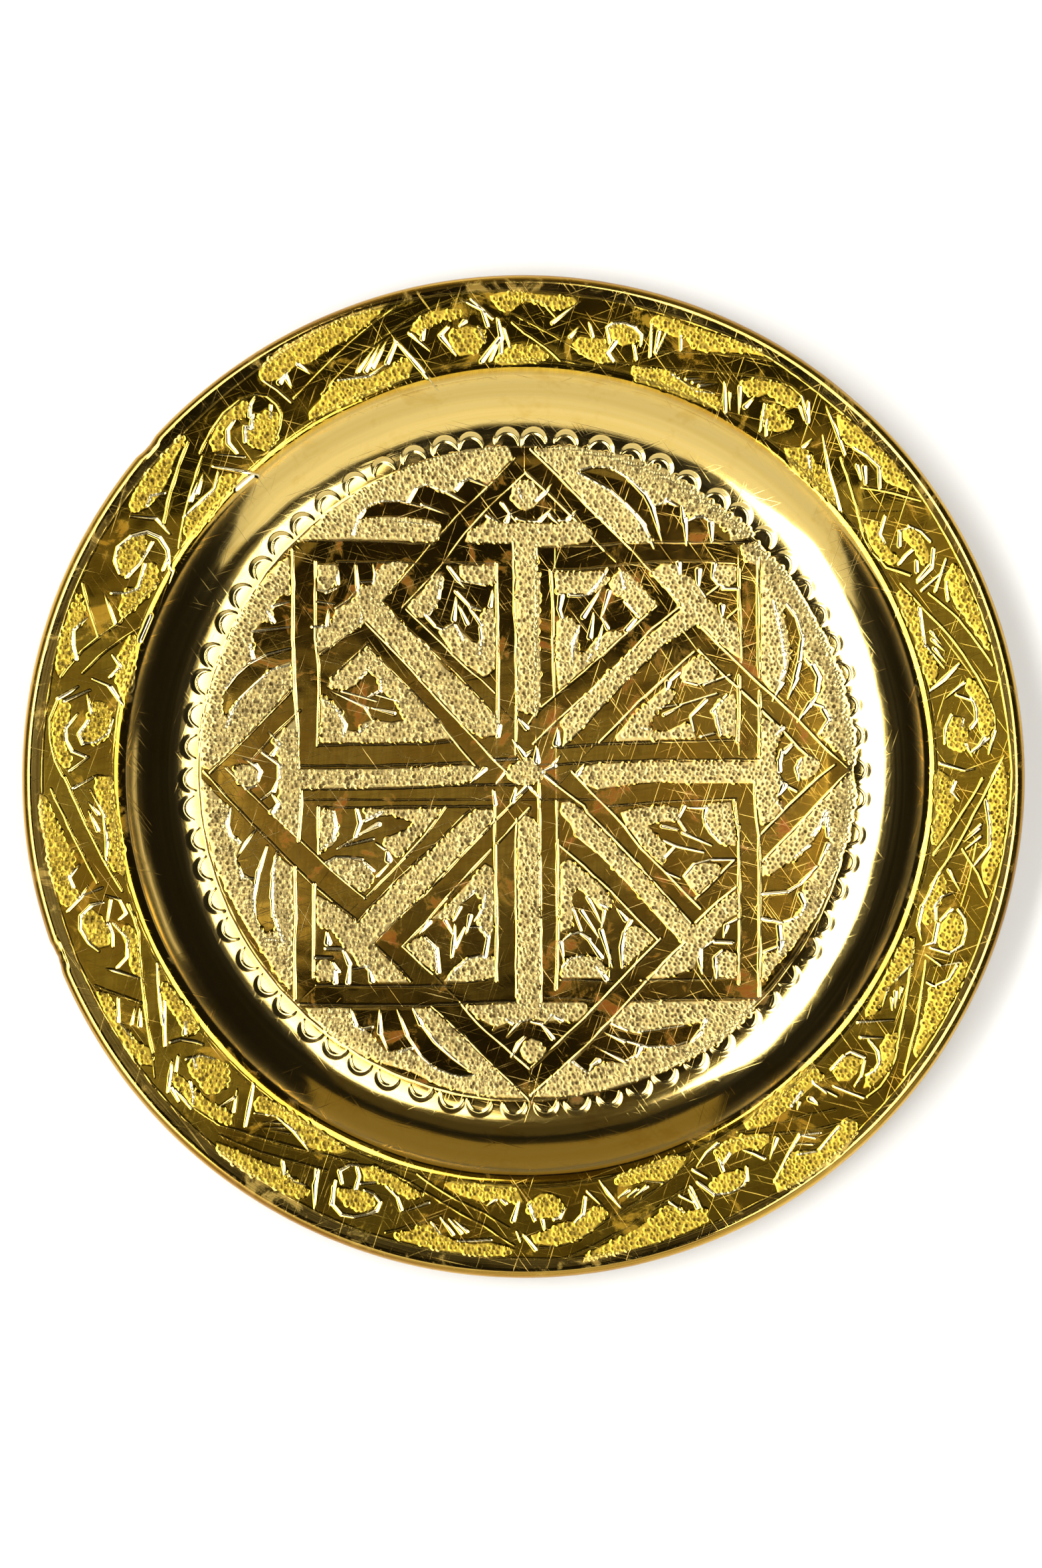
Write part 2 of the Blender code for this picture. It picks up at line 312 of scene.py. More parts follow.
# Tapered bright cuts: x0 y0 width0 x1 y1 width1.
FLOOR_CUTS = """
614 755 7 626 735 6
626 734 3 642 729 4
642 728 3 668 740 4
668 738 5 702 757 2
686 737 7 694 727 7
695 725 5 706 720 5
706 720 5 735 732 2
548 765 3 560 757 3
560 757 3 575 754 3
575 754 4 600 754 3
600 753 4 635 762 3
635 759 5 675 774 2
540 779 8 548 768 6
532 803 7 539 782 5
600 784 3 660 791 2
508 850 2 508 878 7
536 850 3 538 882 6
538 882 6 541 898 2
562 848 2 565 865 4
565 865 4 562 878 3
541 876 3 560 875 3
491 892 4 505 885 4
478 888 3 492 889 3
478 905 3 503 909 3
505 915 3 525 902 3
525 902 3 537 888 2
495 915 2 492 940 6
470 943 5 490 943 4
545 917 2 543 935 5
780 735 4 785 750 4
808 752 7 822 740 6
822 740 4 832 727 1
755 757 5 778 785 2
762 785 8 768 772 3
768 772 3 772 765 1
733 776 5 750 785 3
778 780 5 792 784 3
796 784 3 812 784 5
812 784 7 825 772 4
825 772 4 833 763 1
825 773 5 842 789 2
855 782 7 868 768 2
842 783 4 856 782 4
675 853 5 690 873 6
690 873 4 702 886 1
695 874 3 730 880 3
663 862 2 663 880 4
663 880 4 660 900 6
645 925 4 655 910 4
686 890 5 708 913 4
708 913 6 725 918 3
742 888 2 738 912 7
708 917 3 725 940 6
723 945 5 725 960 6
725 960 6 722 985 3
687 898 2 683 932 8
690 910 2 703 938 7
685 940 4 697 962 5
640 925 5 655 942 4
655 942 4 667 947 4
667 947 4 683 938 3
410 912 6 437 905 2
402 918 5 411 935 8
380 950 5 437 943 3
376 970 5 381 990 7
375 998 4 400 985 4
400 985 4 437 975 3
340 1035 4 355 1015 4
355 1015 4 375 998 3
362 1050 4 385 1028 4
385 1028 4 410 1007 4
410 1007 4 437 1000 3
340 1095 4 350 1070 6
350 1070 6 362 1050 4
557 1003 2 542 1020 5
573 1022 4 573 1040 6
570 1040 5 552 1050 3
515 1040 4 568 1055 3
560 1043 3 600 1055 3
500 1040 2 553 1065 5
550 1065 4 562 1085 2
560 1065 3 593 1073 7
486 1052 3 515 1073 3
506 1067 4 520 1090 6
520 1090 7 517 1107 5
540 1103 4 553 1090 4
404 1101 2 423 1120 5
421 1120 3 410 1135 8
395 1132 4 423 1152 5
420 1150 5 420 1170 6
419 1172 3 412 1190 7
393 1203 3 410 1190 4
410 1195 3 419 1208 6
420 1208 6 412 1222 8
367 1140 2 385 1152 5
385 1150 6 393 1162 6
392 1160 7 388 1175 5
370 1187 4 385 1182 4
502 1220 4 506 1245 8
506 1245 8 501 1265 5
502 1262 4 482 1278 3
537 1218 5 542 1238 8
542 1238 7 535 1258 6
541 1255 3 570 1240 9
508 1277 3 543 1255 3
520 1272 3 562 1262 4
548 1235 6 575 1222 6
565 1268 2 580 1278 4
583 1282 5 585 1293 12
588 1297 2 568 1318 5
490 1298 4 505 1290 4
505 1290 4 520 1290 4
520 1290 4 545 1293 5
548 1297 4 562 1310 6
347 1213 2 342 1240 7
341 1238 6 347 1258 7
348 1257 5 360 1267 6
385 1248 2 370 1268 5
370 1268 5 355 1293 1
358 1298 2 365 1320 6
365 1320 4 382 1322 3
402 1273 3 390 1310 7
389 1310 7 382 1353 5
381 1355 5 386 1390 2
417 1280 2 410 1315 6
411 1318 6 409 1350 7
410 1350 6 411 1378 6
414 1382 6 420 1400 5
420 1400 5 427 1417 6
385 1392 3 400 1412 2
400 1412 3 417 1415 3
492 1402 3 494 1418 12
490 1427 5 515 1428 5
475 1441 5 500 1441 3
501 1448 4 510 1462 6
505 1460 6 505 1478 8
517 1430 4 526 1450 8
527 1450 3 524 1478 8
530 1458 2 555 1453 5
555 1455 3 560 1475 10
647 1387 8 632 1405 2
640 1410 4 657 1427 6
657 1427 7 660 1462 8
670 1385 6 682 1405 3
685 1390 2 683 1420 8
683 1420 8 680 1440 4
693 1365 6 683 1385 3
715 1340 6 697 1357 3
708 1378 8 702 1405 2
700 1395 3 685 1425 7
707 1395 3 725 1395 4
732 1340 3 728 1365 6
730 1365 5 715 1385 3
727 1397 3 735 1410 7
735 1410 6 730 1440 8
675 1475 3 690 1455 6
690 1455 6 705 1442 4
705 1442 4 725 1438 4
528 1517 2 535 1542 8
537 1543 4 546 1550 5
546 1548 5 560 1545 5
572 1518 2 572 1553 9
573 1555 5 585 1583 2
598 1518 2 613 1557 6
613 1558 4 633 1588 4
633 1588 4 655 1608 4
655 1608 4 690 1620 4
690 1620 4 715 1617 3
622 1517 3 634 1540 9
634 1540 4 655 1567 6
655 1567 6 680 1590 4
680 1590 4 703 1608 2
600 1582 5 620 1577 6
752 1530 2 742 1550 2
762 1533 4 772 1540 6
783 1537 5 763 1560 2
780 1538 4 800 1533 4
800 1537 3 815 1540 5
815 1540 3 832 1562 7
830 1527 5 820 1540 2
832 1527 3 845 1535 8
770 1590 3 780 1570 6
780 1570 6 790 1560 4
875 1370 7 902 1410 2
862 1365 4 875 1400 4
885 1350 6 905 1388 2
903 1360 5 915 1365 5
910 1370 5 906 1398 2
930 1368 3 942 1383 9
950 1385 6 940 1403 4
940 1403 6 936 1425 8
936 1425 8 937 1455 4
848 1415 3 860 1405 4
860 1405 4 872 1403 5
873 1403 4 887 1413 6
887 1415 4 905 1440 8
844 1418 8 849 1443 2
905 1400 8 922 1455 2
847 1455 4 858 1442 4
858 1442 4 875 1438 4
897 1453 4 913 1473 8
918 1430 2 918 1475 2
862 1597 5 885 1615 3
887 1613 3 893 1600 3
890 1603 4 900 1596 10
892 1572 1 940 1597 5
940 1597 3 957 1588 4
958 1590 4 963 1577 10
908 1552 1 940 1567 6
940 1565 4 975 1575 4
975 1575 4 1010 1575 4
1010 1575 3 1035 1567 3
1042 1567 5 1055 1553 9
1055 1550 3 1063 1535 9
920 1540 3 945 1550 4
960 1553 3 1030 1543 3
1094 1393 8 1090 1410 2
1095 1390 3 1110 1383 6
1075 1417 5 1103 1418 5
1058 1427 3 1075 1415 5
1055 1428 6 1054 1445 8
1053 1442 8 1058 1465 2
1075 1455 3 1077 1440 6
1077 1440 6 1088 1430 4
1077 1442 8 1079 1470 4
1030 1213 6 1022 1230 4
1036 1215 2 1060 1216 5
1063 1215 8 1060 1230 5
1060 1230 4 1070 1252 5
1070 1252 5 1085 1268 3
1020 1232 4 1032 1250 4
1028 1253 5 1072 1272 2
997 1243 6 1020 1248 4
1000 1265 4 1018 1273 4
1015 1275 4 1000 1290 5
1018 1273 4 1060 1282 3
1030 1318 4 1045 1300 4
1045 1300 4 1070 1293 4
1070 1293 4 1105 1293 3
1003 1313 4 1025 1322 2
1244 1222 10 1234 1242 5
1236 1240 6 1224 1256 8
1218 1272 6 1195 1290 3
1245 1230 8 1247 1258 6
1247 1270 8 1233 1300 2
1231 1303 3 1206 1328 6
1205 1330 5 1185 1342 5
1185 1342 6 1148 1345 6
1205 1345 8 1212 1360 7
1214 1360 7 1205 1378 4
1200 1380 4 1180 1388 3
1148 1382 6 1178 1388 4
1173 1393 8 1175 1413 7
1176 1418 12 1173 1438 2
1150 1433 4 1170 1425 4
1178 1095 8 1167 1108 3
1193 1120 4 1180 1132 8
1177 1130 6 1174 1145 7
1173 1143 7 1174 1160 7
1170 1162 3 1178 1178 4
1180 1182 12 1170 1200 2
1185 1182 3 1200 1190 3
1163 1200 3 1178 1218 3
1207 1142 4 1199 1155 6
1199 1155 6 1203 1172 4
1164 903 4 1170 925 7
1169 920 7 1176 955 6
1176 950 6 1180 985 6
1181 980 7 1182 1005 5
1180 1010 8 1174 1025 4
1178 1027 6 1163 1055 1
1184 908 5 1197 925 6
1198 925 4 1209 960 6
1208 963 7 1204 993 6
1203 998 7 1198 1018 7
1199 1020 8 1186 1052 1
1212 990 3 1220 1000 4
1224 1000 8 1234 1020 7
1233 1018 8 1230 1040 7
1235 1040 2 1218 1062 8
1220 1058 8 1200 1087 1
1240 1067 8 1247 1080 7
1250 1080 7 1232 1105 2
1224 1058 4 1240 1063 4
1022 847 8 1024 870 3
1052 858 10 1051 880 5
1050 880 3 1062 898 3
1062 897 2 1082 882 3
1076 850 8 1073 868 5
1072 868 3 1080 878 3
1080 878 3 1095 884 3
1088 885 5 1110 885 5
1087 912 10 1087 930 2
1095 930 2 1112 915 2
1022 1012 6 1010 1023 5
1006 1027 10 1004 1038 4
990 1065 3 1020 1060 3
1000 1075 6 1025 1062 2
1025 1060 3 1080 1043 3
1063 1053 6 1040 1077 4
1040 1078 3 1045 1100 3
1055 1108 4 1075 1103 4
1095 1045 3 1072 1070 5
1077 1070 5 1085 1105 5
1030 1025 3 1050 1030 3
1050 1030 3 1075 1022 3
1060 1030 3 1100 1015 3
965 1095 3 980 1098 3
870 711 5 893 723 4
893 723 4 918 737 5
918 737 5 940 757 5
940 757 6 958 775 5
956 773 6 970 790 7
968 788 6 985 825 2
873 707 5 890 702 4
890 702 3 920 703 3
920 703 3 945 718 4
945 718 5 970 742 8
970 740 8 983 765 8
982 764 8 998 818 1
984 761 3 1002 755 4
1003 752 8 1022 762 2
1027 762 5 1030 785 7
1031 780 8 1034 820 2
1033 785 2 1048 778 5
1046 778 6 1058 777 5
1057 775 4 1067 783 3
1070 787 10 1072 815 3
845 897 10 842 915 7
841 915 6 846 930 5
857 895 6 875 896 6
876 897 4 890 893 4
915 855 3 903 875 7
903 875 6 887 893 6
906 885 2 878 928 8
917 890 8 905 930 2
894 922 2 888 958 9
908 940 2 898 975 6
873 938 2 862 968 7
863 965 8 861 995 3
890 985 6 884 995 3
907 930 3 915 945 6
956 932 6 943 948 8
940 905 3 963 928 4
935 862 5 940 885 6
772 1113 2 790 1137 8
790 1137 6 803 1127 2
808 1122 2 808 1145 12
745 1143 4 778 1142 4
817 1160 4 835 1152 8
833 1150 5 845 1135 1
817 1162 4 838 1180 4
796 1183 5 815 1203 3
793 1183 5 770 1205 3
777 1185 3 772 1205 8
760 1162 4 748 1178 3
730 1157 8 708 1178 2
880 1150 2 870 1165 8
840 1095 2 838 1118 12
778 1078 2 793 1095 8
752 1092 8 750 1108 6
743 1190 4 746 1210 6
"""

# ------------------------------------------------------------ the rim: ground
# Outlines of ring-punched ground (deg r deg r ...).
RIM_GROUND = """
0 728 6 725 6.5 718 5.5 708 4 705 2 712 0 715
0 648 1.5 650 3 640 3.5 632 2 622 0 622
6.5 655 7.5 668 9 668 10.5 670 11 660 12.3 645 13 640 10.5 633 8.5 638 7 647
11 695 12.5 698 14 695 15 685 14.5 675 13 665 11.5 672 10.7 683
15.6 708 16 720 17 725 20 722 23 725 26 730 29 735 30 730 28 722 25 705 23 695 21.5 695 20.5 703 19 700 18 702 17 705
15 640 17 643 20 650 22 640 25 641 26.5 643 28 635 28.2 625 25 620 20 619 16 618 15 628
29 680 30 690 31.5 698 33 706 35 708 36.3 703 36.5 692 35.8 683 34 684 32.5 683 31.8 672 30.5 667 29.5 670
33.2 665 34 678 35.2 678 36 670 37.3 670 37.6 660 36.5 645 35 640 34 645 33.2 655
41 722 43 727 45 728 50 731 53.5 729 53.5 722 52 712 50.5 704 49.5 710 47 708 45 701 43 700 41.5 715
38.5 632 39.5 642 40.5 652 43 645 45 647 47 638 49 628 49 621 45 617 41 614 39.5 622
54 645 54 655 55.5 652 57 648 59 650 60 655 60.3 645 60 638 58 628 56 630 53.5 640
57.5 695 59 700 61 698 62.2 690 62 680 60 682 58 676 57 682
63.8 722 65 728 70 728 75 728 73 718 70 708 68 700 66.5 703 65 700 64.3 710
63.7 635 65 640 67 645 69 640 72 636 75 645 76 643 77 635 77.5 625 70 623 64 623
77.5 688 79 700 80.5 708 82.5 713 84 711 85.2 700 84 692 82.5 690 81 688 79.8 685 79 680 78 682
82.3 665 84 672 85.5 672 86.8 665 86.5 650 85.5 640 83.5 640 82 650
88 722 90 728 95 728 99 728 103 722 103 712 101 704 100 708 99 714 96 708 93 700 91 705
90 640 92.5 652 95 645 98 640 99.5 632 99 622 95 620 90 618 89 625
103 650 105 660 107 655 109 655 110 650 110 640 108 633 105 636 103.5 642
107.5 690 109 700 110.5 702 112 695 112.5 685 111.5 672 109.5 668 107.5 675
112.5 722 114 728 120 728 125.5 728 125 718 122 708 119 698 117.5 690 117 700 115.5 710 114 715
112.7 635 115 648 116 650 118 642 120 636 122.5 638 124 640 125 630 124 623 118 622 113 624
124.3 683 126 690 127 700 129 705 131 703 132.5 695 131 688 129 690 128 685 127 675 125.5 672
130 665 131.5 672 133 672 134 660 133.5 645 131.5 638 130.3 650
136.5 708 136 722 137 735 139 742 141 743 145 740 148.5 735 148 715 146 705 144.5 695 143 705 142 715 140 714 138 710
135 640 138 638 140 640 145 640 147.5 630 147.5 615 143 610 138 610 135 615
145.5 652 146 663 147.5 665 148.5 655 150 650 152 652 153 648 153 635 151 628 148.5 633 146.5 645
151 690 152.5 700 154.5 697 155.7 685 155.5 675 153.5 668 151.5 675 150.6 682
157 708 157.5 725 160 728 165 730 170 733 173 737 172.5 725 170 715 166 703 163 690 161.5 680 160 690 159.5 700 158 702
157 623 157.5 632 160 645 161.5 643 163 635 166 637 167.3 628 166.5 617 162 613 158.5 612
169 668 170 680 171.5 692 173.5 703 176 707 178.5 703 179 690 177 685 175.5 675 173.5 674 172 665 170.5 656 169.5 660
175 665 177 665 178.5 665 179.5 655 179 640 177.5 628 175.8 632 174.8 645
181 712 182 722 185 724 190 724 195.5 722 195.5 712 194 705 192.5 690 191.5 688 190 700 188 708 186 707 184 703
180 640 181 643 183 638 186 642 188 638 190 632 191 625 190 618 185 616 181 618
193.3 648 195 658 197 655 198.5 648 200 650 201.5 655 201.8 645 202.5 638 201 628 198 632 195 642
199.3 690 200.5 700 202.5 698 204 690 204.2 680 202.5 672 200.5 668 199.3 675
207 705 208 718 210 724 215 728 219 728 220 718 217 708 213 698 211.5 690 210 697 208.5 697
205 622 206 632 210 645 212 640 215 630 217 638 218.5 645 219.5 635 219.5 622 215 614 208 615
219.7 683 221 690 222.5 695 225 703 227 700 229.5 700 230 690 228.5 684 226 683 224 680 222 672 220.8 672
224 665 225 675 226.5 670 228 672 229.5 665 229.5 645 228 630 226 622 224.5 630 223.8 645
231.8 705 233 718 235 724 240 724 243.3 720 242.5 708 241.5 703 239.5 712 237 709 235 703 234 695
232 625 232.5 640 235 635 238 638 240 632 240 620 236 615 233 610
242 648 243.5 658 245 655 246 648 248 650 249 648 249.5 635 248.5 628 246 635 243.5 642
248 688 249 698 251 702 252.5 698 253 680 251.5 668 249.5 665 247.8 672
254 712 255 722 258 726 263 727 265 730 268 728 267.5 718 265 708 262 695 260 685 258.5 690 257.5 697 256 695 254.5 690 254.2 700
256 620 257 630 258.5 640 260 632 263 630 265 635 268 645 270 642 270 620 262 612 257 613
271 685 271.5 698 274 710 277 713 279.5 705 279.5 695 278.5 690 277 688 275.5 695 273.5 690 272.5 680
274.5 660 275.5 670 277 665 279 660 280 655 280 640 278.5 627 276.5 622 275 632 274.3 648
282.2 715 283 722 286 727 290 727 292.5 722 291.5 712 290.5 702 289 705 287.5 710 286 703 285 700 284 703
281.5 610 282 622 284 632 287 635 289 632 290 625 289.5 612 286 608 283 600 282 602
291.5 648 293 660 295 662 296 650 298 648 299.5 655 300 645 299.5 630 297 622 294.5 632
297.2 688 298.5 698 300.5 697 302 690 302.5 675 301 662 299 662 297 668 296.5 675
304 712 305 722 308 727 315 727 315 718 312 708 309.5 695 307.5 692 305.5 697 304.3 705
305.3 620 306 632 307.5 643 310 638 313 635 315 640 316 635 316.3 625 315.5 618 310 612 306 613
316.3 675 317 690 319 702 321.5 707 323.5 703 323.5 690 322 685 320.5 692 318.8 688 318 675 317 670
321 668 323 672 325 675 326 660 325 640 323.5 625 322 622 321 635 320.5 650
326.5 715 327 730 330 740 335 742 340 743 344 740 342 725 339 712 335 705 332.5 700 331 707 329 700 327.5 705
329 625 330 638 332 645 334.5 658 337 652 340 643 343 650 344.5 655 345 640 344 625 338 619 331 622
345.8 692 347 705 349 713 352 712 353 702 351.5 695 350 698 348 690 347 682
350.3 660 350.8 680 353 683 355 675 354.8 655 353.5 640 351.5 640 350.5 648
356 725 357.5 730 360 735 360 715 358.5 700 357 705
356 625 357 640 358.5 650 360 652 360 620 357 620
"""

# Cut lines: width, then deg r deg r ...
RIM_LINES = """
4 0 717 2.2 716 4 693.6
3 0 687 5 658.8 7.2 647 9 637 10.5 634 12.5 637 14.8 641.5
4 0 668.7 3 647 5 629 8 626
3 17.5 668 20.5 681.3 25 700 31 728.5
3 15 636 20 652 25 672 30 693.6 32.4 706 34.5 712 36.2 710
5 45 677 50 650.5 55 627 57 624 60 632 62.5 657
4 49.5 670 52.5 702 55.3 728.5
4 65.7 670 70 697 76.7 727
4.5 63 638 67.5 655 72.5 680 77.5 700 80 710 82.5 716 84.5 714
5 90 708 95 680 100 658 103 643 105 636
5 90.3 692 95 662 98 645 100.8 629
4.5 99.4 670 102 700 104.5 722
5 114.5 667 118 680 121 695 125 712 128 728
5 112.5 638 116 650 120 667 124 685 127 703 129 710 131 713 133 708
4 135.8 718.5 139 698.6 142 678.7 145 657 147 647 150 633 152.5 627
3 136.8 687 140 665 145 642 149 625
3.5 158.1 665 162 677 166 692 170 708 175 727
3.5 155.8 630 160 645 165 663 170 683 173 700 175 707 177 710 178.5 708
4 181 707 185 678.7 190 655.5 195 635.5 198 629 201 628 204 639
4 181.8 680 185 660 190 640 195 619
4 190.8 673 193 690 196.8 717
4 206.5 662 210 672 215 690 220.3 707
4 203.5 632 208 643 213 660 218 680 221 695 225 703
4 230.7 716 233.3 695
6 233.3 695 240 659 248 624 250 623 252 625
4 239.3 668 241.5 690 244 718
5 256 660 260 673 265 693 268.5 711
5.5 254 627 258 641 262 655 265.9 670
6 265.5 668 270 690
5 270 692 272 705 274.5 714 277 718 279.5 710
5 282.2 712 286 690 291.2 648
5 290.8 650 295 635 298 622
5 283.2 682 287 655 291.4 617
5.5 288.1 672 290.5 693 293.7 724
6 305.2 662 309 682 313 702 315 712
5 303.5 622 308 645 312 665 315 682
5.5 315 688 318 700 320.5 708 323 709 325 702 326 690 326.5 672 326.3 655 325 640 323.5 628 322 622
4.5 328.8 665 331 672 336 692 340 710 345 732
4 332.2 650 337 672 341 687 345 703 348 715 351 722 354 718
3 358 700 360 688
4 358.6 683 360 670
"""

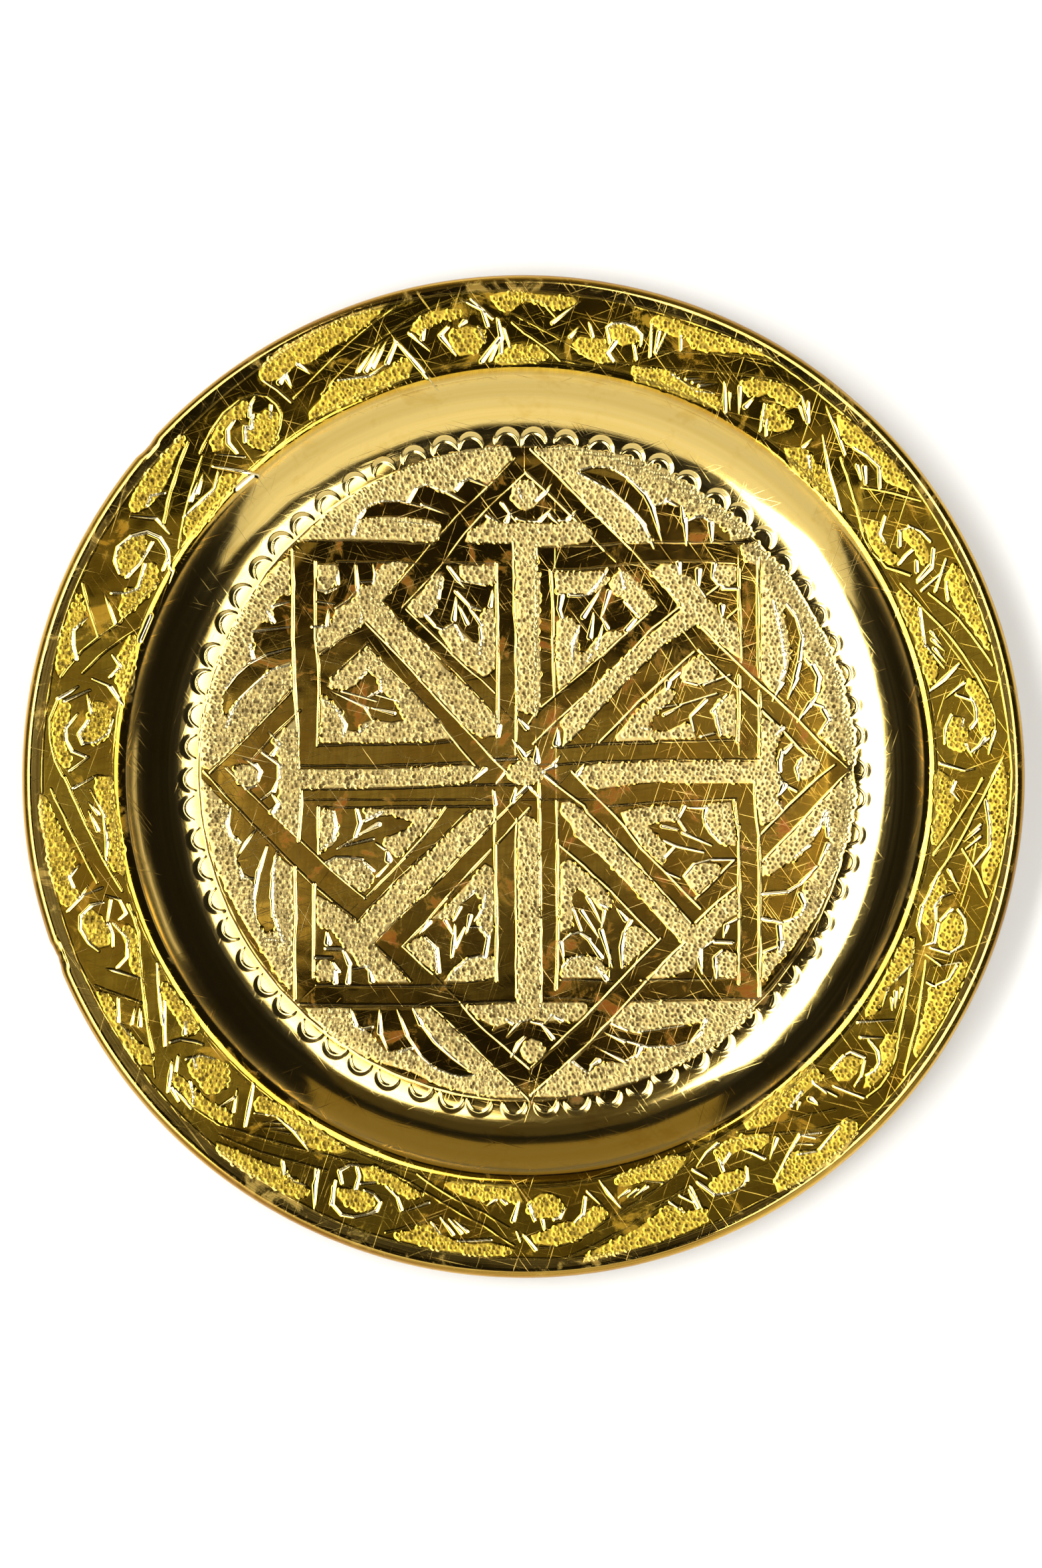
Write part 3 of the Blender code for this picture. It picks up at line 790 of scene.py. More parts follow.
# Tapered bright cuts: deg0 r0 width0 deg1 r1 width1.
RIM_CUTS = """
3.7 683.7 6 6.8 718.5 2
2.6 665 1 2.6 707 1
6.1 665 6 7.1 681 2
8.3 690 3 9 670 5
10.6 687 5 11.2 695 5
11.2 695 5 12.5 699 5
12.5 699 5 14 697 5
13.8 697 5 15 688 5
15 688 5 15.3 672 3
14.4 670 4 15.2 650 4
10.6 688 4 11.3 665 4
12 668.7 8 11.3 650 6
11.3 650 6 12.3 640 5
15.9 708 3 16.8 660 4
17 700 6 17.3 668 3
17.9 702 3 17.5 668 3
19.7 704 5 20.3 684 4
36.2 710 3 38.7 687 5
20.2 646 4 24.2 635.5 2
24.2 635.5 3 26.5 645 3
22.3 646 5 24.3 658 1
23.3 645.5 5 25 658 1
24.3 645 6 26.2 659.5 1
27.1 666 3 28.5 637 6
28.5 637 6 29.9 614 1
29.1 671 6 30.8 636 2
28.3 656 4 29.6 632 1
31.4 668.7 2 31 649 8
33 668 4 34.5 630 3
34.3 650 4 35.5 630 4
36.7 696 4 38.3 683.7 3
37.3 708.5 4 38.8 683.7 6
39.2 720.8 1 42 703.6 5
42 703.6 5 45 685 4
41.3 683.7 2 45 650.5 5
45 650 5 50 623 5
40.6 668.7 2 40.4 650.5 6
41.7 645.5 6 43.2 632 4
45.2 702 5 47 708 5
47 708 5 49 710 5
49 710 5 51.1 690 4
47 687 5 48.7 678 3
47.8 693 8 49.5 678 4
51.8 648 1.5 54.8 695 1
54.3 671 4 55.8 649 5
55.8 649 5 57.2 648 4
57 692 4 58.3 703 4
58.3 703 4 60 708 4
61 706 5 63 690 5
63 690 5 63.8 662 4
57 676 4 58.5 664 6
57.2 690 3 56.8 675 3
59.8 678 5 60 665 5
60 665 5 60.5 650 5
61.3 675 5 62.5 668 6
62.8 716 3 65.8 680 4
64 705 3 65 662 4
62.5 690 3 63.5 663 3
65.3 702 4 66 697 4
66 697 4 67.5 692 4
67 648 6 70 640 5
70 640 5 72 636 4
72 638 4 75.5 655 2
70.5 652 5 72.8 662 1
71.5 650 6 73.5 663 1
72.7 648 6 75 660 1
75.5 679 3 77 650 7
77 650 7 78.3 623 3
78 679 5 79.6 645 1
80 685 4 81.5 690 5
81.5 690 5 83 687 5
83 687 5 83.8 678 6
79.3 663 3 80.3 685 4
82.5 668 4 83.5 665 4
81.8 652 4 83.5 640 4
83.5 640 4 85.5 637 4
85.8 668 5 87.5 678 1
85.2 697 6 87 680 2
84.5 713 5 87.2 702 2
85.3 705 4 86.8 677 4
87.5 725 1 90 707 4
89 680 2 89.2 665 3
89.2 665 3 88.2 628 5
93 698 6 96 706 5
96 706 5 98.5 710 5
98.5 710 5 101.2 692 3
96 693 4 98 672 1
96.5 692 4 98.6 670 1
97.5 695 4 99.3 675 2
90.7 650 6 92 645 5
92 645 5 93.2 658 2
98 690 1.5 106.5 688 1.5
102.4 656 5 104.8 682 1
103 643 4 106 637 4
106 637 4 108 632 4
105 672 2 106 655 4
106 655 4 107.5 650 6
107.5 650 6 109.2 658 4
107 685 4 107.8 697 4
107.8 697 4 109 705 4
109 705 4 111 708 4
111 708 4 112.5 695 4
112.5 695 4 112.8 665 4
107.2 675 6 109 665 4
109.5 662 6 112 667 6
112 667 6 113 653 1
108 632 6 110.5 635 5
110.5 635 5 112.5 650 1
113 715 4 115 680 1
114.3 690 3 113.8 662 2
113.5 712 4 115.5 710 4
115.5 710 4 117 695 4
117 695 4 117 683 3
115.7 650 4 119 638 3
120 635 4 123.5 645 1
119.2 653 5 120.5 658 2
120 648 6 121.8 660 2
121 648 5 122.3 658 2
123.3 668 2 126.3 625 5
126 670 2 127.7 642 5
127.3 655 4 127.8 675 5
127.8 675 5 128.8 688 5
128.8 688 5 130 690 5
130 690 5 131 685 4
129.7 668 4 131.5 680 4
131.5 680 4 133 683 3
129.5 665 5 130 645 5
130 645 5 131 640 3
131 640 5 133.5 640 5
133.3 705 4 134.9 660 4
135.5 675 3 136.7 635 3
136.2 660 3 136.5 632 4
138 710 5 141.5 717 4
142 716 4 144 703 4
140.2 698 5 142.3 682 3
141 700 4 142.5 680 2
141.7 705 4 143.5 688 2
142.3 681 5 145 695 4
145 695 4 148.3 718 2
145 665 7 147.3 687 1
138 665 2 138.3 650 10
138.5 633 6 141 640 5
139.7 643 5 140.5 650 2
147.7 680 5 148.5 665 4
148.5 665 4 149.5 652 2
151.3 647 6 153 658 4
153.1 665 6 152.9 645 4
150.2 677 4 151 695 6
150.7 690 4 151.7 699 4
151.7 699 4 153.5 700 4
153.5 700 4 155.5 692 5
155.5 690 6 156.7 665 5
155.3 665 3 156.6 645 5
152 625 5 154 630 4
154 630 4 156 643 2
157.5 702 3 157.8 666 4
158 700 6 158.1 670 3
158.2 690 3 159.5 673 4
159.7 700 3 161 677 4
161 647 3 163.5 635 2
163.2 645 6 165.2 655 2
164.5 645 5 166 652 3
165.7 643 6 167.2 650 3
167.2 665 3 168.5 640 5
168.5 640 5 169.3 618 2
169.5 658 2 171.2 632 4
171.6 640 5 172.2 665 6
172.2 665 6 173.5 676 3
174.4 652 3 175.3 667 6
175.3 667 6 176 668 5
177.3 683 3 177.5 668 6
178.5 668 5 179.2 645 7
178.5 712 6 179.9 690 4
180.3 700 3 180.8 685 3
181.3 668 8 180.6 640 4
184 699 5 188 706 4
187 690 6 188.9 675 2
187.7 693 6 189.5 675 3
188.7 697 6 190.6 675 3
190.3 700 4 191.6 685 4
192.5 657 5 196 685 1
182.3 643 6 182.9 638 5
183.7 638 6 184.8 648 2
195.7 677 6 196.7 660 4
196.7 660 4 198.5 650 3
200 650 4 201.8 660 4
202.1 670 6 202.3 650 5
202.3 650 5 203 640 5
204 670 5 205 655 6
205 655 6 204 640 5
204 640 5 203 636 4
198.5 675 4 198.7 690 7
198.7 690 7 199.7 700 5
199.7 700 5 201 710 5
201 710 5 202.5 714 5
202.5 714 5 204 705 5
204 705 5 204.8 680 6
198.6 675 4 199.8 667 4
199.8 667 4 201 667 4
204.2 705 6 204.9 670 4
205.7 724 2 207 690 8
207 690 8 207.5 665 3
206.6 700 3 207.8 668 4
208 697 3 209.5 700 3
209.5 700 3 211 695 3
211 697 6 212 683 5
209.8 648 3 213 635 5
213 635 5 216 632 3
216 632 3 218.6 648 3
213.2 642 3 215.8 655 1
214.3 640 4 216.5 657 1
215 637 4 217 652 1
218.5 672 5 220 640 7
220 640 7 221.3 615 4
220.8 667 5 222.4 638 2
222.7 680 2 222 650 5
226.7 712 4 228.5 707 6
228.4 715 4 229.8 695 7
229.8 695 7 231 680 2
229.7 685 5 231 668 3
225 706 4 228 704 4
225.3 700 4 226 690 5
226 690 5 227.5 680 5
228.3 660 5 229.5 652 5
230 662 4 229 640 4
229 640 4 227.5 630 3
233 665 4 232.5 650 4
232.5 650 4 231 635 4
231 635 4 230 628 3
233.1 674 5 237.9 637 5
235.5 658 5 243 618 3
236 708 3 238.5 711 3
238.8 712 6 241.3 695 4
237 688 8 238.9 673 2
237.7 697 5 239.2 680 2
242 650 2 244.5 680 5
244.5 680 5 245.3 692 1
232.8 640 8 234 628 4
244.8 675 5 245.5 655 5
245.5 655 5 247.5 645 4
247.5 643 4 250.3 655 4
250.5 645 4 251 632 5
251 632 5 253 635 4
253 635 4 254.2 655 2
250.4 665 3 253.3 648 5
247.6 690 3 249 700 4
249 700 4 251 705 5
251 705 5 252.5 698 6
252.5 698 6 253.4 678 6
253.4 678 6 253.3 660 4
247.5 668 4 249 662 5
249 662 5 250.5 662 5
253.5 715 4 254.7 690 5
254.7 690 5 255.9 675 2
254.8 695 3 255.2 655 3
256.2 697 6 257.5 700 6
257.5 700 6 258.8 680 2
258 642 3 261 634 6
261 634 6 265 634 3
264.5 632 4 268.3 652 2
262.8 645 7 265.6 656 2
265 642 7 266.8 657 1
268.5 678 5 270 645 3
272.6 660 5 273.2 680 5
273.2 680 5 274.5 690 5
274.5 690 5 276 693 5
276 693 5 278 677 3
270.7 683 4 272.6 655 3
279.3 700 5 281.3 665 3
274.2 665 5 275.5 672 6
275.5 672 6 277.3 660 6
278.4 657 6 280.8 668 2
274.3 665 4 274.6 645 4
274.6 645 4 276 628 4
276 628 4 278 624 4
282.8 665 3 282.4 640 4
282.4 640 4 280.3 615 4
282.3 635 5 280.2 613 5
279.5 710 6 280.5 695 5
280.5 695 5 281.5 683 2
284.7 695 6 286.2 705 6
286.4 706 7 288 712 5
288 712 5 290 698 3
290.6 656 5 292 670 5
292 670 5 293.8 690 1
283.5 640 4 285 630 5
285.3 628 6 286.5 645 3
289.5 612 8 293.3 611 8
294 678 5 294.8 658 4
294.8 658 4 296 645 5
296 645 5 299.3 653 6
296.7 680 4 297.8 695 5
297.8 695 5 299.5 701 5
299.5 701 5 301.5 692 5
301.5 692 6 303 675 7
303 675 7 303.3 655 7
303.3 655 7 302.5 635 6
302.5 635 6 301 622 5
301 622 5 300 610 3
296.7 668 6 299 660 4
299 660 4 302.3 660 5
299.8 625 5 301.8 628 5
298.5 608 3 300.5 612 3
303.5 710 2 305.1 675 5
305.1 675 5 304.5 645 3
305.7 697 5 307 702 5
307 702 5 308.3 688 5
307.3 643 3 311 637 6
311 637 6 313 635 4
313 635 4 315 648 3
309.7 650 6 311 655 4
311 650 7 313.4 662 2
309.7 650 7 312.2 660 2
318.5 650 5 318.5 670 7
318.5 670 7 319.5 685 6
319.5 685 6 321 690 4
322.8 680 6 323.5 692 5
323.5 692 5 325.3 702 2
322 665 8 323.3 680 4
320.3 655 6 321.5 672 7
321.5 672 7 322 665 7
324.8 660 4 325.8 675 5
315 660 4 317.5 622 6
317.5 622 6 318.6 604 6
316.3 670 2 318.9 638 4
315 612 8 318 610 8
326.7 712 3 327.5 690 3
327.5 690 3 328.2 662 3
328.3 697 10 330 706 2
329.3 700 8 329.2 680 2
331.3 707 8 332.2 685 2
335 658 4 339 645 5
339 645 5 342.5 657 2
337.8 658 6 341 682 2
338.8 655 8 342 688 1
339.8 656 8 343 690 1
341.8 655 8 343.7 680 5
343.6 685 3 345.5 640 7
345.5 640 7 347.6 595 1
345.6 688 5 347.7 655 2
347 675 7 347.6 690 4
349.3 675 6 350.5 685 5
349.5 672 8 351 642 3
352.7 690 8 352 684 4
354.3 680 3 355 655 3
352 728 1 355 705 5
355 705 5 355.5 680 6
353.8 722 4 356.2 690 4
356.8 690 4 357.2 660 8
357.2 665 5 354.3 628 8
357.2 665 4 355.5 628 5
357.2 665 4 357 638 6
357.5 675 4 358.3 645 3
"""

# ------------------------------------------------------------- relief raster
# Depths of all engraving, in mm below the sheet's face, on a fine square grid
# seen from above.  The mesh takes its vertices' depths from it.
HALF = 127.0
N = int(2 * HALF / RASTER)
depth = np.zeros((N, N), np.float32)
bright = np.zeros((N, N), np.float32)
ground = np.zeros((N, N), np.float32)
# dark middles of the ring punches: grime, with the shade of a pit painted in
dirt_and_pit_shade = np.zeros((N, N), np.float32)


def window(x0, y0, x1, y1):
    """The raster's slices over a box in mm, and the x and y of its cells."""
    i0 = max(int((y0 + HALF) / RASTER), 0)
    i1 = min(int((y1 + HALF) / RASTER) + 2, N)
    j0 = max(int((x0 + HALF) / RASTER), 0)
    j1 = min(int((x1 + HALF) / RASTER) + 2, N)
    ys = (np.arange(i0, i1, dtype=np.float32) * RASTER - HALF)[:, None]
    xs = (np.arange(j0, j1, dtype=np.float32) * RASTER - HALF)[None, :]
    return (slice(i0, i1), slice(j0, j1)), xs, ys


def groove(x0, y0, h0, x1, y1, h1, slope, deepest, shine):
    """A V-shaped cut from one point to another, half-widths h0 to h1."""
    pad = max(h0, h1)
    where, xs, ys = window(min(x0, x1) - pad, min(y0, y1) - pad,
                           max(x0, x1) + pad, max(y0, y1) + pad)
    dx, dy = x1 - x0, y1 - y0
    ll = dx * dx + dy * dy + 1e-9
    t = np.clip(((xs - x0) * dx + (ys - y0) * dy) / ll, 0, 1)
    d = np.hypot(xs - (x0 + t * dx), ys - (y0 + t * dy))
    h = h0 + (h1 - h0) * t
    np.maximum(depth[where], np.minimum(slope * (h - d), deepest), out=depth[where])
    np.maximum(bright[where], np.clip((h - d) / 0.1 + 0.3, 0, 1) * shine, out=bright[where])


def cut_line(points, half, slope=0.40, deepest=0.22, shine=0.8, wander=0.05):
    """A cut along a polyline, in short strokes of slightly uneven width."""
    path = [points[0]]
    for (ax, ay), (bx, by) in zip(points, points[1:]):
        n = max(int(math.hypot(bx - ax, by - ay) / 2.6), 1)
        for k in range(1, n + 1):
            path.append((ax + (bx - ax) * k / n, ay + (by - ay) * k / n))
    shaken = [(x + rng.normal(0, wander), y + rng.normal(0, wander)) for x, y in path]
    widths = [max(half * (1 + rng.normal(0, 0.13)), 0.08) for _ in path]
    for (a, b), (ha, hb) in zip(zip(shaken, shaken[1:]), zip(widths, widths[1:])):
        groove(a[0], a[1], ha, b[0], b[1], hb, slope, deepest, shine)


def fill(grid, points, value, bump=False):
    """Fills a polygon on one of the grids."""
    px = np.array([p[0] for p in points], np.float32)
    py = np.array([p[1] for p in points], np.float32)
    where, xs, ys = window(px.min(), py.min(), px.max(), py.max())
    inside = np.zeros((ys.shape[0], xs.shape[1]), bool)
    j = len(points) - 1
    for i in range(len(points)):
        if py[i] != py[j]:
            rising = (py[i] > ys) != (py[j] > ys)
            edge = (px[j] - px[i]) * (ys - py[i]) / (py[j] - py[i]) + px[i]
            inside ^= rising & (xs < edge)
        j = i
    grid[where][inside] = value


def smooth(grid, times):
    """Blurs a grid by a small kernel, several times."""
    for _ in range(times):
        mid = grid[1:-1] * 0.5 + (grid[:-2] + grid[2:]) * 0.25
        grid[1:-1] = mid
        mid = grid[:, 1:-1] * 0.5 + (grid[:, :-2] + grid[:, 2:]) * 0.25
        grid[:, 1:-1] = mid
    return grid


# ground outlines, less the leaves that stand polished in it
for row in rows(FLOOR_GROUND):
    fill(ground, [floor_xy(x, y) for x, y in pairs(row)], 1.0)
for row in rows(FLOOR_LEAVES):
    fill(ground, [floor_xy(x, y) for x, y in pairs(row)], 0.0)
for row in rows(RIM_GROUND):
    fill(ground, [rim_xy(d, r) for d, r in pairs(row)], 1.0)


# ring punches, packed by hand: a bent hexagonal order with a loose touch
PITCH = 1.38
punches = []
for i in range(int(2 * HALF / (PITCH * 0.866))):
    y = -HALF + i * PITCH * 0.866
    for k in range(int(2 * HALF / PITCH)):
        x = -HALF + (k + 0.5 * (i % 2)) * PITCH
        if x * x + y * y < 124.0 ** 2:
            punches.append((x, y))
punches = np.array(punches)
punches += rng.uniform(-0.36, 0.36, punches.shape)
row_i = ((punches[:, 1] + HALF) / RASTER).astype(int)
row_j = ((punches[:, 0] + HALF) / RASTER).astype(int)
reach = int(0.30 / RASTER)
keep = np.ones(len(punches), bool)
for di, dj in ((0, 0), (reach, 0), (-reach, 0), (0, reach), (0, -reach)):
    keep &= ground[np.clip(row_i + di, 0, N - 1), np.clip(row_j + dj, 0, N - 1)] > 0.5
for x, y in punches[keep]:
    r = rng.uniform(0.46, 0.61)
    half = rng.uniform(0.25, 0.31)
    deep = rng.uniform(0.085, 0.12)
    where, xs, ys = window(x - r - half, y - r - half, x + r + half, y + r + half)
    rho = np.hypot(xs - x, ys - y)
    d = (rho - r) / half
    np.maximum(depth[where], deep * (1 - d * d), out=depth[where])
    # each punch's middle is darkened: grime, and painted shade standing for the hollow of a pit
    pit = rng.uniform(0.36, 0.62)
    np.maximum(dirt_and_pit_shade[where], np.clip((pit - rho) / 0.14, 0, 1) * rng.uniform(0.7, 1.0), out=dirt_and_pit_shade[where])

# the beaten ground lies a little below the polished parts
soft_ground = smooth(ground.copy(), 4)
depth += soft_ground * 0.05

# cut lines
U = UNIT
for row in rows(FLOOR_LINES):
    cut_line([floor_xy(x, y) for x, y in pairs(row[1:])], row[0] * U * 0.37)
for row in rows(FLOOR_SCRIBED):
    cut_line([floor_xy(x, y) for x, y in pairs(row[1:])], row[0] * U * 0.5,
             slope=0.3, deepest=0.04, shine=0.5, wander=0.03)
for row in rows(RIM_LINES):
    line = []
    for (d0, r0), (d1, r1) in zip(pairs(row[1:]), pairs(row[1:])[1:]):
        n = max(int(abs(d1 - d0) / 1.0), 1)
        line += [(d0 + (d1 - d0) * k / n, r0 + (r1 - r0) * k / n) for k in range(n)]
    line.append(pairs(row[1:])[-1])
    cut_line([rim_xy(d, r) for d, r in line], row[0] * U * 0.34)

# bright cuts, struck in one go from fine to broad
for x0, y0, w0, x1, y1, w1 in rows(FLOOR_CUTS):
    a, b = floor_xy(x0, y0), floor_xy(x1, y1)
    groove(a[0], a[1], w0 * U * 0.5, b[0], b[1], w1 * U * 0.5, 0.46, 0.32, 1.0)
for d0, r0, w0, d1, r1, w1 in rows(RIM_CUTS):
    n = max(int(abs(d1 - d0) / 2.0), 1)
    for k in range(n):
        s, t = k / n, (k + 1) / n
        a = rim_xy(d0 + (d1 - d0) * s, r0 + (r1 - r0) * s)
        b = rim_xy(d0 + (d1 - d0) * t, r0 + (r1 - r0) * t)
        groove(a[0], a[1], (w0 + (w1 - w0) * s) * U * 0.5,
               b[0], b[1], (w0 + (w1 - w0) * t) * U * 0.5, 0.46, 0.32, 1.0)


def around(table, step=0.8):
    """A closed line round the rim from rows of (degrees, radius)."""
    t = np.array(table).reshape(-1, 2)
    degs = np.arange(0, 360.01, step)
    return [rim_xy(d, r) for d, r in zip(degs, np.interp(degs, t[:, 0], t[:, 1]))]


BORDER = [0, 729.5, 5, 728, 10, 727, 15, 726.8, 20, 728.5, 28, 731.8, 33, 730, 40, 727.5,
          45, 729, 52, 733, 60, 732, 75, 732.8, 82, 733, 90, 735.8, 97, 733, 105, 730,
          112, 731, 120, 732.8, 135, 733.5, 140, 735.5, 145, 736.8, 150, 731.8, 157, 731,
          165, 730.8, 175, 727.8, 180, 724.8, 190, 724.5, 200, 725.8, 215, 723.5,
          225, 724.5, 240, 724.5, 255, 724.5, 270, 724, 280, 725, 285, 727.8, 290, 730,
          300, 730, 310, 727.8, 315, 725, 325, 728.5, 331, 733, 337, 739, 345, 736.8,
          352, 732.5, 360, 729.5]
INNER = [0, 624, 45, 622, 90, 622, 135, 616, 180, 615.5, 225, 615, 270, 618, 315, 614,
         330, 621, 345, 622, 360, 624]
cut_line(around(BORDER), 2.3 * U / 2, slope=0.36, wander=0.04)
cut_line(around(INNER), 1.8 * U / 2, slope=0.35, deepest=0.1, wander=0.05)
cut_line([(x * 1.0068, y * 1.0068) for x, y in around(INNER)], 1.5 * U / 2,
         slope=0.35, deepest=0.08, wander=0.05)

# the circle round the medallion, and its second, fainter line
circle = [floor_xy(790 + 492 * math.sin(a), 1163 - 492 * math.cos(a))
          for a in np.linspace(0, 2 * math.pi, 160)]
cut_line(circle, 3.0 * U / 2, wander=0.07)
for a0, a1 in ((30, 150), (215, 300)):
    arc = [floor_xy(790 + 487.5 * math.sin(math.radians(a)), 1163 - 487.5 * math.cos(math.radians(a)))
           for a in np.linspace(a0, a1, 50)]
    cut_line(arc, 2.0 * U / 2, slope=0.35, deepest=0.1, wander=0.05)

# crescent stamps round the medallion, open towards its middle
STAMPS = 66
stamp_deg = 0.0
for k in range(STAMPS):
    deg = 2.0 + k * 360 / STAMPS + rng.uniform(-0.5, 0.5)
    out = 497.5 + rng.uniform(-2.0, 2.5)
    a = math.radians(deg)
    cx, cy = floor_xy(790 + out * math.sin(a), 1163 - out * math.cos(a))
    size = rng.uniform(17.2, 19.0) * U
    wide = rng.uniform(4.7, 5.5) * U
    deep = rng.uniform(0.23, 0.29)
    lean = a + rng.normal(0, 0.08)
    where, xs, ys = window(cx - size - wide, cy - size - wide, cx + size + wide, cy + size + wide)
    rho = np.hypot(xs - cx, ys - cy)
    phi = np.abs(np.angle(np.exp(1j * (np.arctan2(xs - cx, ys - cy) - lean))))
    span = math.radians(rng.uniform(90, 100))
    half = wide * np.sqrt(np.clip(1 - (phi / span) ** 2.4, 0, 1)) + 1e-4
    t = (rho - size) / half          # steep towards the middle, broad slope outside
    on = np.clip(np.minimum((t + 1) / 0.45, (1 - t) / 1.55), 0, 1) * (phi < span)
    np.maximum(depth[where], (deep * on * (half / wide)).astype(np.float32), out=depth[where])
    np.maximum(bright[where], (np.clip(on * 4, 0, 1) * 0.75).astype(np.float32), out=bright[where])

# long stray scratches of use, very shallow
for k in range(170):
    r, a = 118 * math.sqrt(rng.uniform()), rng.uniform(0, 2 * math.pi)
    x, y = r * math.cos(a), r * math.sin(a)
    if 84 < r < 104:
        continue
    lay, long = rng.uniform(0, math.pi), rng.gamma(2.0, 6.0)
    x1, y1 = x + long * math.cos(lay), y + long * math.sin(lay)
    if 84 < math.hypot(x1, y1) < 103 or math.hypot(x1, y1) > 122:
        continue
    groove(x, y, 0.045, x1, y1, 0.08, 0.22, 0.015, 0.25)

smooth(depth, 1)
smooth(bright, 1)


def sample(grid, x, y):
    """A grid's value at points in mm."""
    u, v = (x + HALF) / RASTER, (y + HALF) / RASTER
    j = np.clip(u.astype(np.int32), 0, N - 2)
    i = np.clip(v.astype(np.int32), 0, N - 2)
    fu, fv = u - j, v - i
    return ((grid[i, j] * (1 - fu) + grid[i, j + 1] * fu) * (1 - fv)
            + (grid[i + 1, j] * (1 - fu) + grid[i + 1, j + 1] * fu) * fv)


def waves(x, y, cell, seed):
    """Smooth gradient noise, about -0.7 to 0.7, with features of cell mm."""
    g = np.random.default_rng(seed)
    ang = g.uniform(0, 2 * np.pi, (256, 256))
    gx, gy = np.cos(ang), np.sin(ang)
    u, v = x / cell + 100.5, y / cell + 100.5
    i, j = np.floor(u).astype(np.int64), np.floor(v).astype(np.int64)
    fu, fv = u - i, v - j
    su = fu ** 3 * (fu * (fu * 6 - 15) + 10)
    sv = fv ** 3 * (fv * (fv * 6 - 15) + 10)

    def corner(a, b):
        p, q = (i + a) & 255, (j + b) & 255
        return gx[p, q] * (fu - a) + gy[p, q] * (fv - b)

    near = corner(0, 0) * (1 - su) + corner(1, 0) * su
    far = corner(0, 1) * (1 - su) + corner(1, 1) * su
    return near * (1 - sv) + far * sv

# ---------------------------------------------------------------- the section
def mid_path():
    """Stations along the middle of the sheet: r, z, heading, region."""
    out = []
    r, z, h = 0.0, SHEET / 2, 0.0

    def straight(length, step, region):
        nonlocal r, z
        n = max(int(round(length / step)), 1)
        for k in range(n):
            out.append((r + length * k / n * math.cos(h), z + length * k / n * math.sin(h), h, region))
        r, z = r + length * math.cos(h), z + length * math.sin(h)

    def arc(radius, turn, step, region):
        nonlocal r, z, h
        side = 1.0 if turn > 0 else -1.0
        cr, cz = r - side * radius * math.sin(h), z + side * radius * math.cos(h)
        n = max(int(round(abs(turn) * radius / step)), 2)
        for k in range(n):
            g = h + turn * k / n
            out.append((cr + side * radius * math.sin(g), cz - side * radius * math.cos(g), g, region))
        h += turn
        r, z = cr + side * radius * math.sin(h), cz - side * radius * math.cos(h)

    straight(FLOOR_R, STEP, "floor")
    arc(COVE_R, WALL_A, STEP * 1.25, "cove")
    straight(WALL_L, 0.45, "wall")
    arc(LIP_R, RIM_A - WALL_A, 0.16, "lip")
    bead_r = OUTER_R - SHEET / 2 - BEAD_R
    rim_end = bead_r - BEAD_R * math.sin(RIM_A)
    straight((rim_end - r) / math.cos(RIM_A), STEP, "rim")
    arc(BEAD_R, -BEAD_TURN, 0.24, "bead")
    out.append((r, z, h, "bead"))
    return out


def turns(r, region):
    """How many vertices a ring of the upper face has."""
    if region == "floor":
        n = SEGMENTS
        edge = 72.0
        while r < edge and n > SEGMENTS // 64:
            n //= 2
            edge /= 2
        return n
    if region == "cove":
        return SEGMENTS if r < 88.0 else SEGMENTS // 2
    if region in ("wall", "lip"):
        return SEGMENTS // 2
    if region == "rim":
        return SEGMENTS
    return SEGMENTS // 2


stations = mid_path()
upper, lower = [], []        # (r, z, nr, nz, mid r, region, ring count)
last = None
for r, z, h, region in stations:
    nr, nz = -math.sin(h), math.cos(h)
    if r < 0.35:
        continue
    upper.append((r + nr * SHEET / 2, z + nz * SHEET / 2, nr, nz, r, region, turns(r, region)))
# the underside needs fewer rings
spacing = {"floor": 1.5, "cove": 1.2, "wall": 1.0, "lip": 0.4, "rim": 1.0, "bead": 0.35}
pr, pz = None, None
for r, z, h, region in stations[::-1]:
    if pr is not None and math.hypot(r - pr, z - pz) < spacing[region] and r > 0.6:
        continue
    if r < 1.4:
        continue
    pr, pz = r, z
    nr, nz = math.sin(h), -math.cos(h)
    n = SEGMENTS // 4
    while r < 40 and n > SEGMENTS // 64 and r < 40 * n / (SEGMENTS // 4):
        n //= 2
    lower.append((r + nr * SHEET / 2, z + nz * SHEET / 2, nr, nz, r, region, n))

# rounded end of the sheet inside the bead
ur, uz, unr, unz, _, _, _ = upper[-1]
lr, lz = lower[0][0], lower[0][1]
er, ez = math.cos(stations[-1][2]), math.sin(stations[-1][2])
end_cap = []
for k in (1, 2, 3):
    t = k / 4
    bulge = 0.28 * math.sin(math.pi * t)
    end_cap.append((ur + (lr - ur) * t + er * bulge, uz + (lz - uz) * t + ez * bulge,
                    er, ez, ur, "end", SEGMENTS // 4))
# the bead's outer face steps down to the ring count of the underside
chain = [s + (1.0,) for s in upper]
chain[-1] = chain[-1][:6] + (SEGMENTS // 4, 1.0)
chain += [s + (0.5,) for s in end_cap] + [s + (0.0,) for s in lower]

counts = np.array([s[6] for s in chain])
starts = np.concatenate([[0], np.cumsum(counts)])
total = int(starts[-1])
ring = np.repeat(np.arange(len(chain)), counts)
spot = np.arange(total) - starts[ring]
angle = 2 * np.pi * spot / counts[ring]
table = np.array([[s[0], s[1], s[2], s[3], s[4], s[7]] for s in chain])
region_of = np.array([["floor", "cove", "wall", "lip", "rim", "bead", "end"].index(s[5]) for s in chain])
base_r, base_z, nor_r, nor_z, mid_r, top = (table[ring, k] for k in range(6))
region_id = region_of[ring]
ca, sa = np.cos(angle), np.sin(angle)


def ramp(v, a, b):
    t = np.clip((v - a) / (b - a), 0, 1)
    return t * t * (3 - 2 * t)


# the lip isn't quite concentric: the well was beaten a little off the middle
shift = ramp(mid_r, 84, 99) * (1 - ramp(mid_r, 104, 116))
x = (base_r - 0.50 * shift) * ca + 0.50 * shift
y = (base_r - 0.50 * shift) * sa + 0.75 * shift
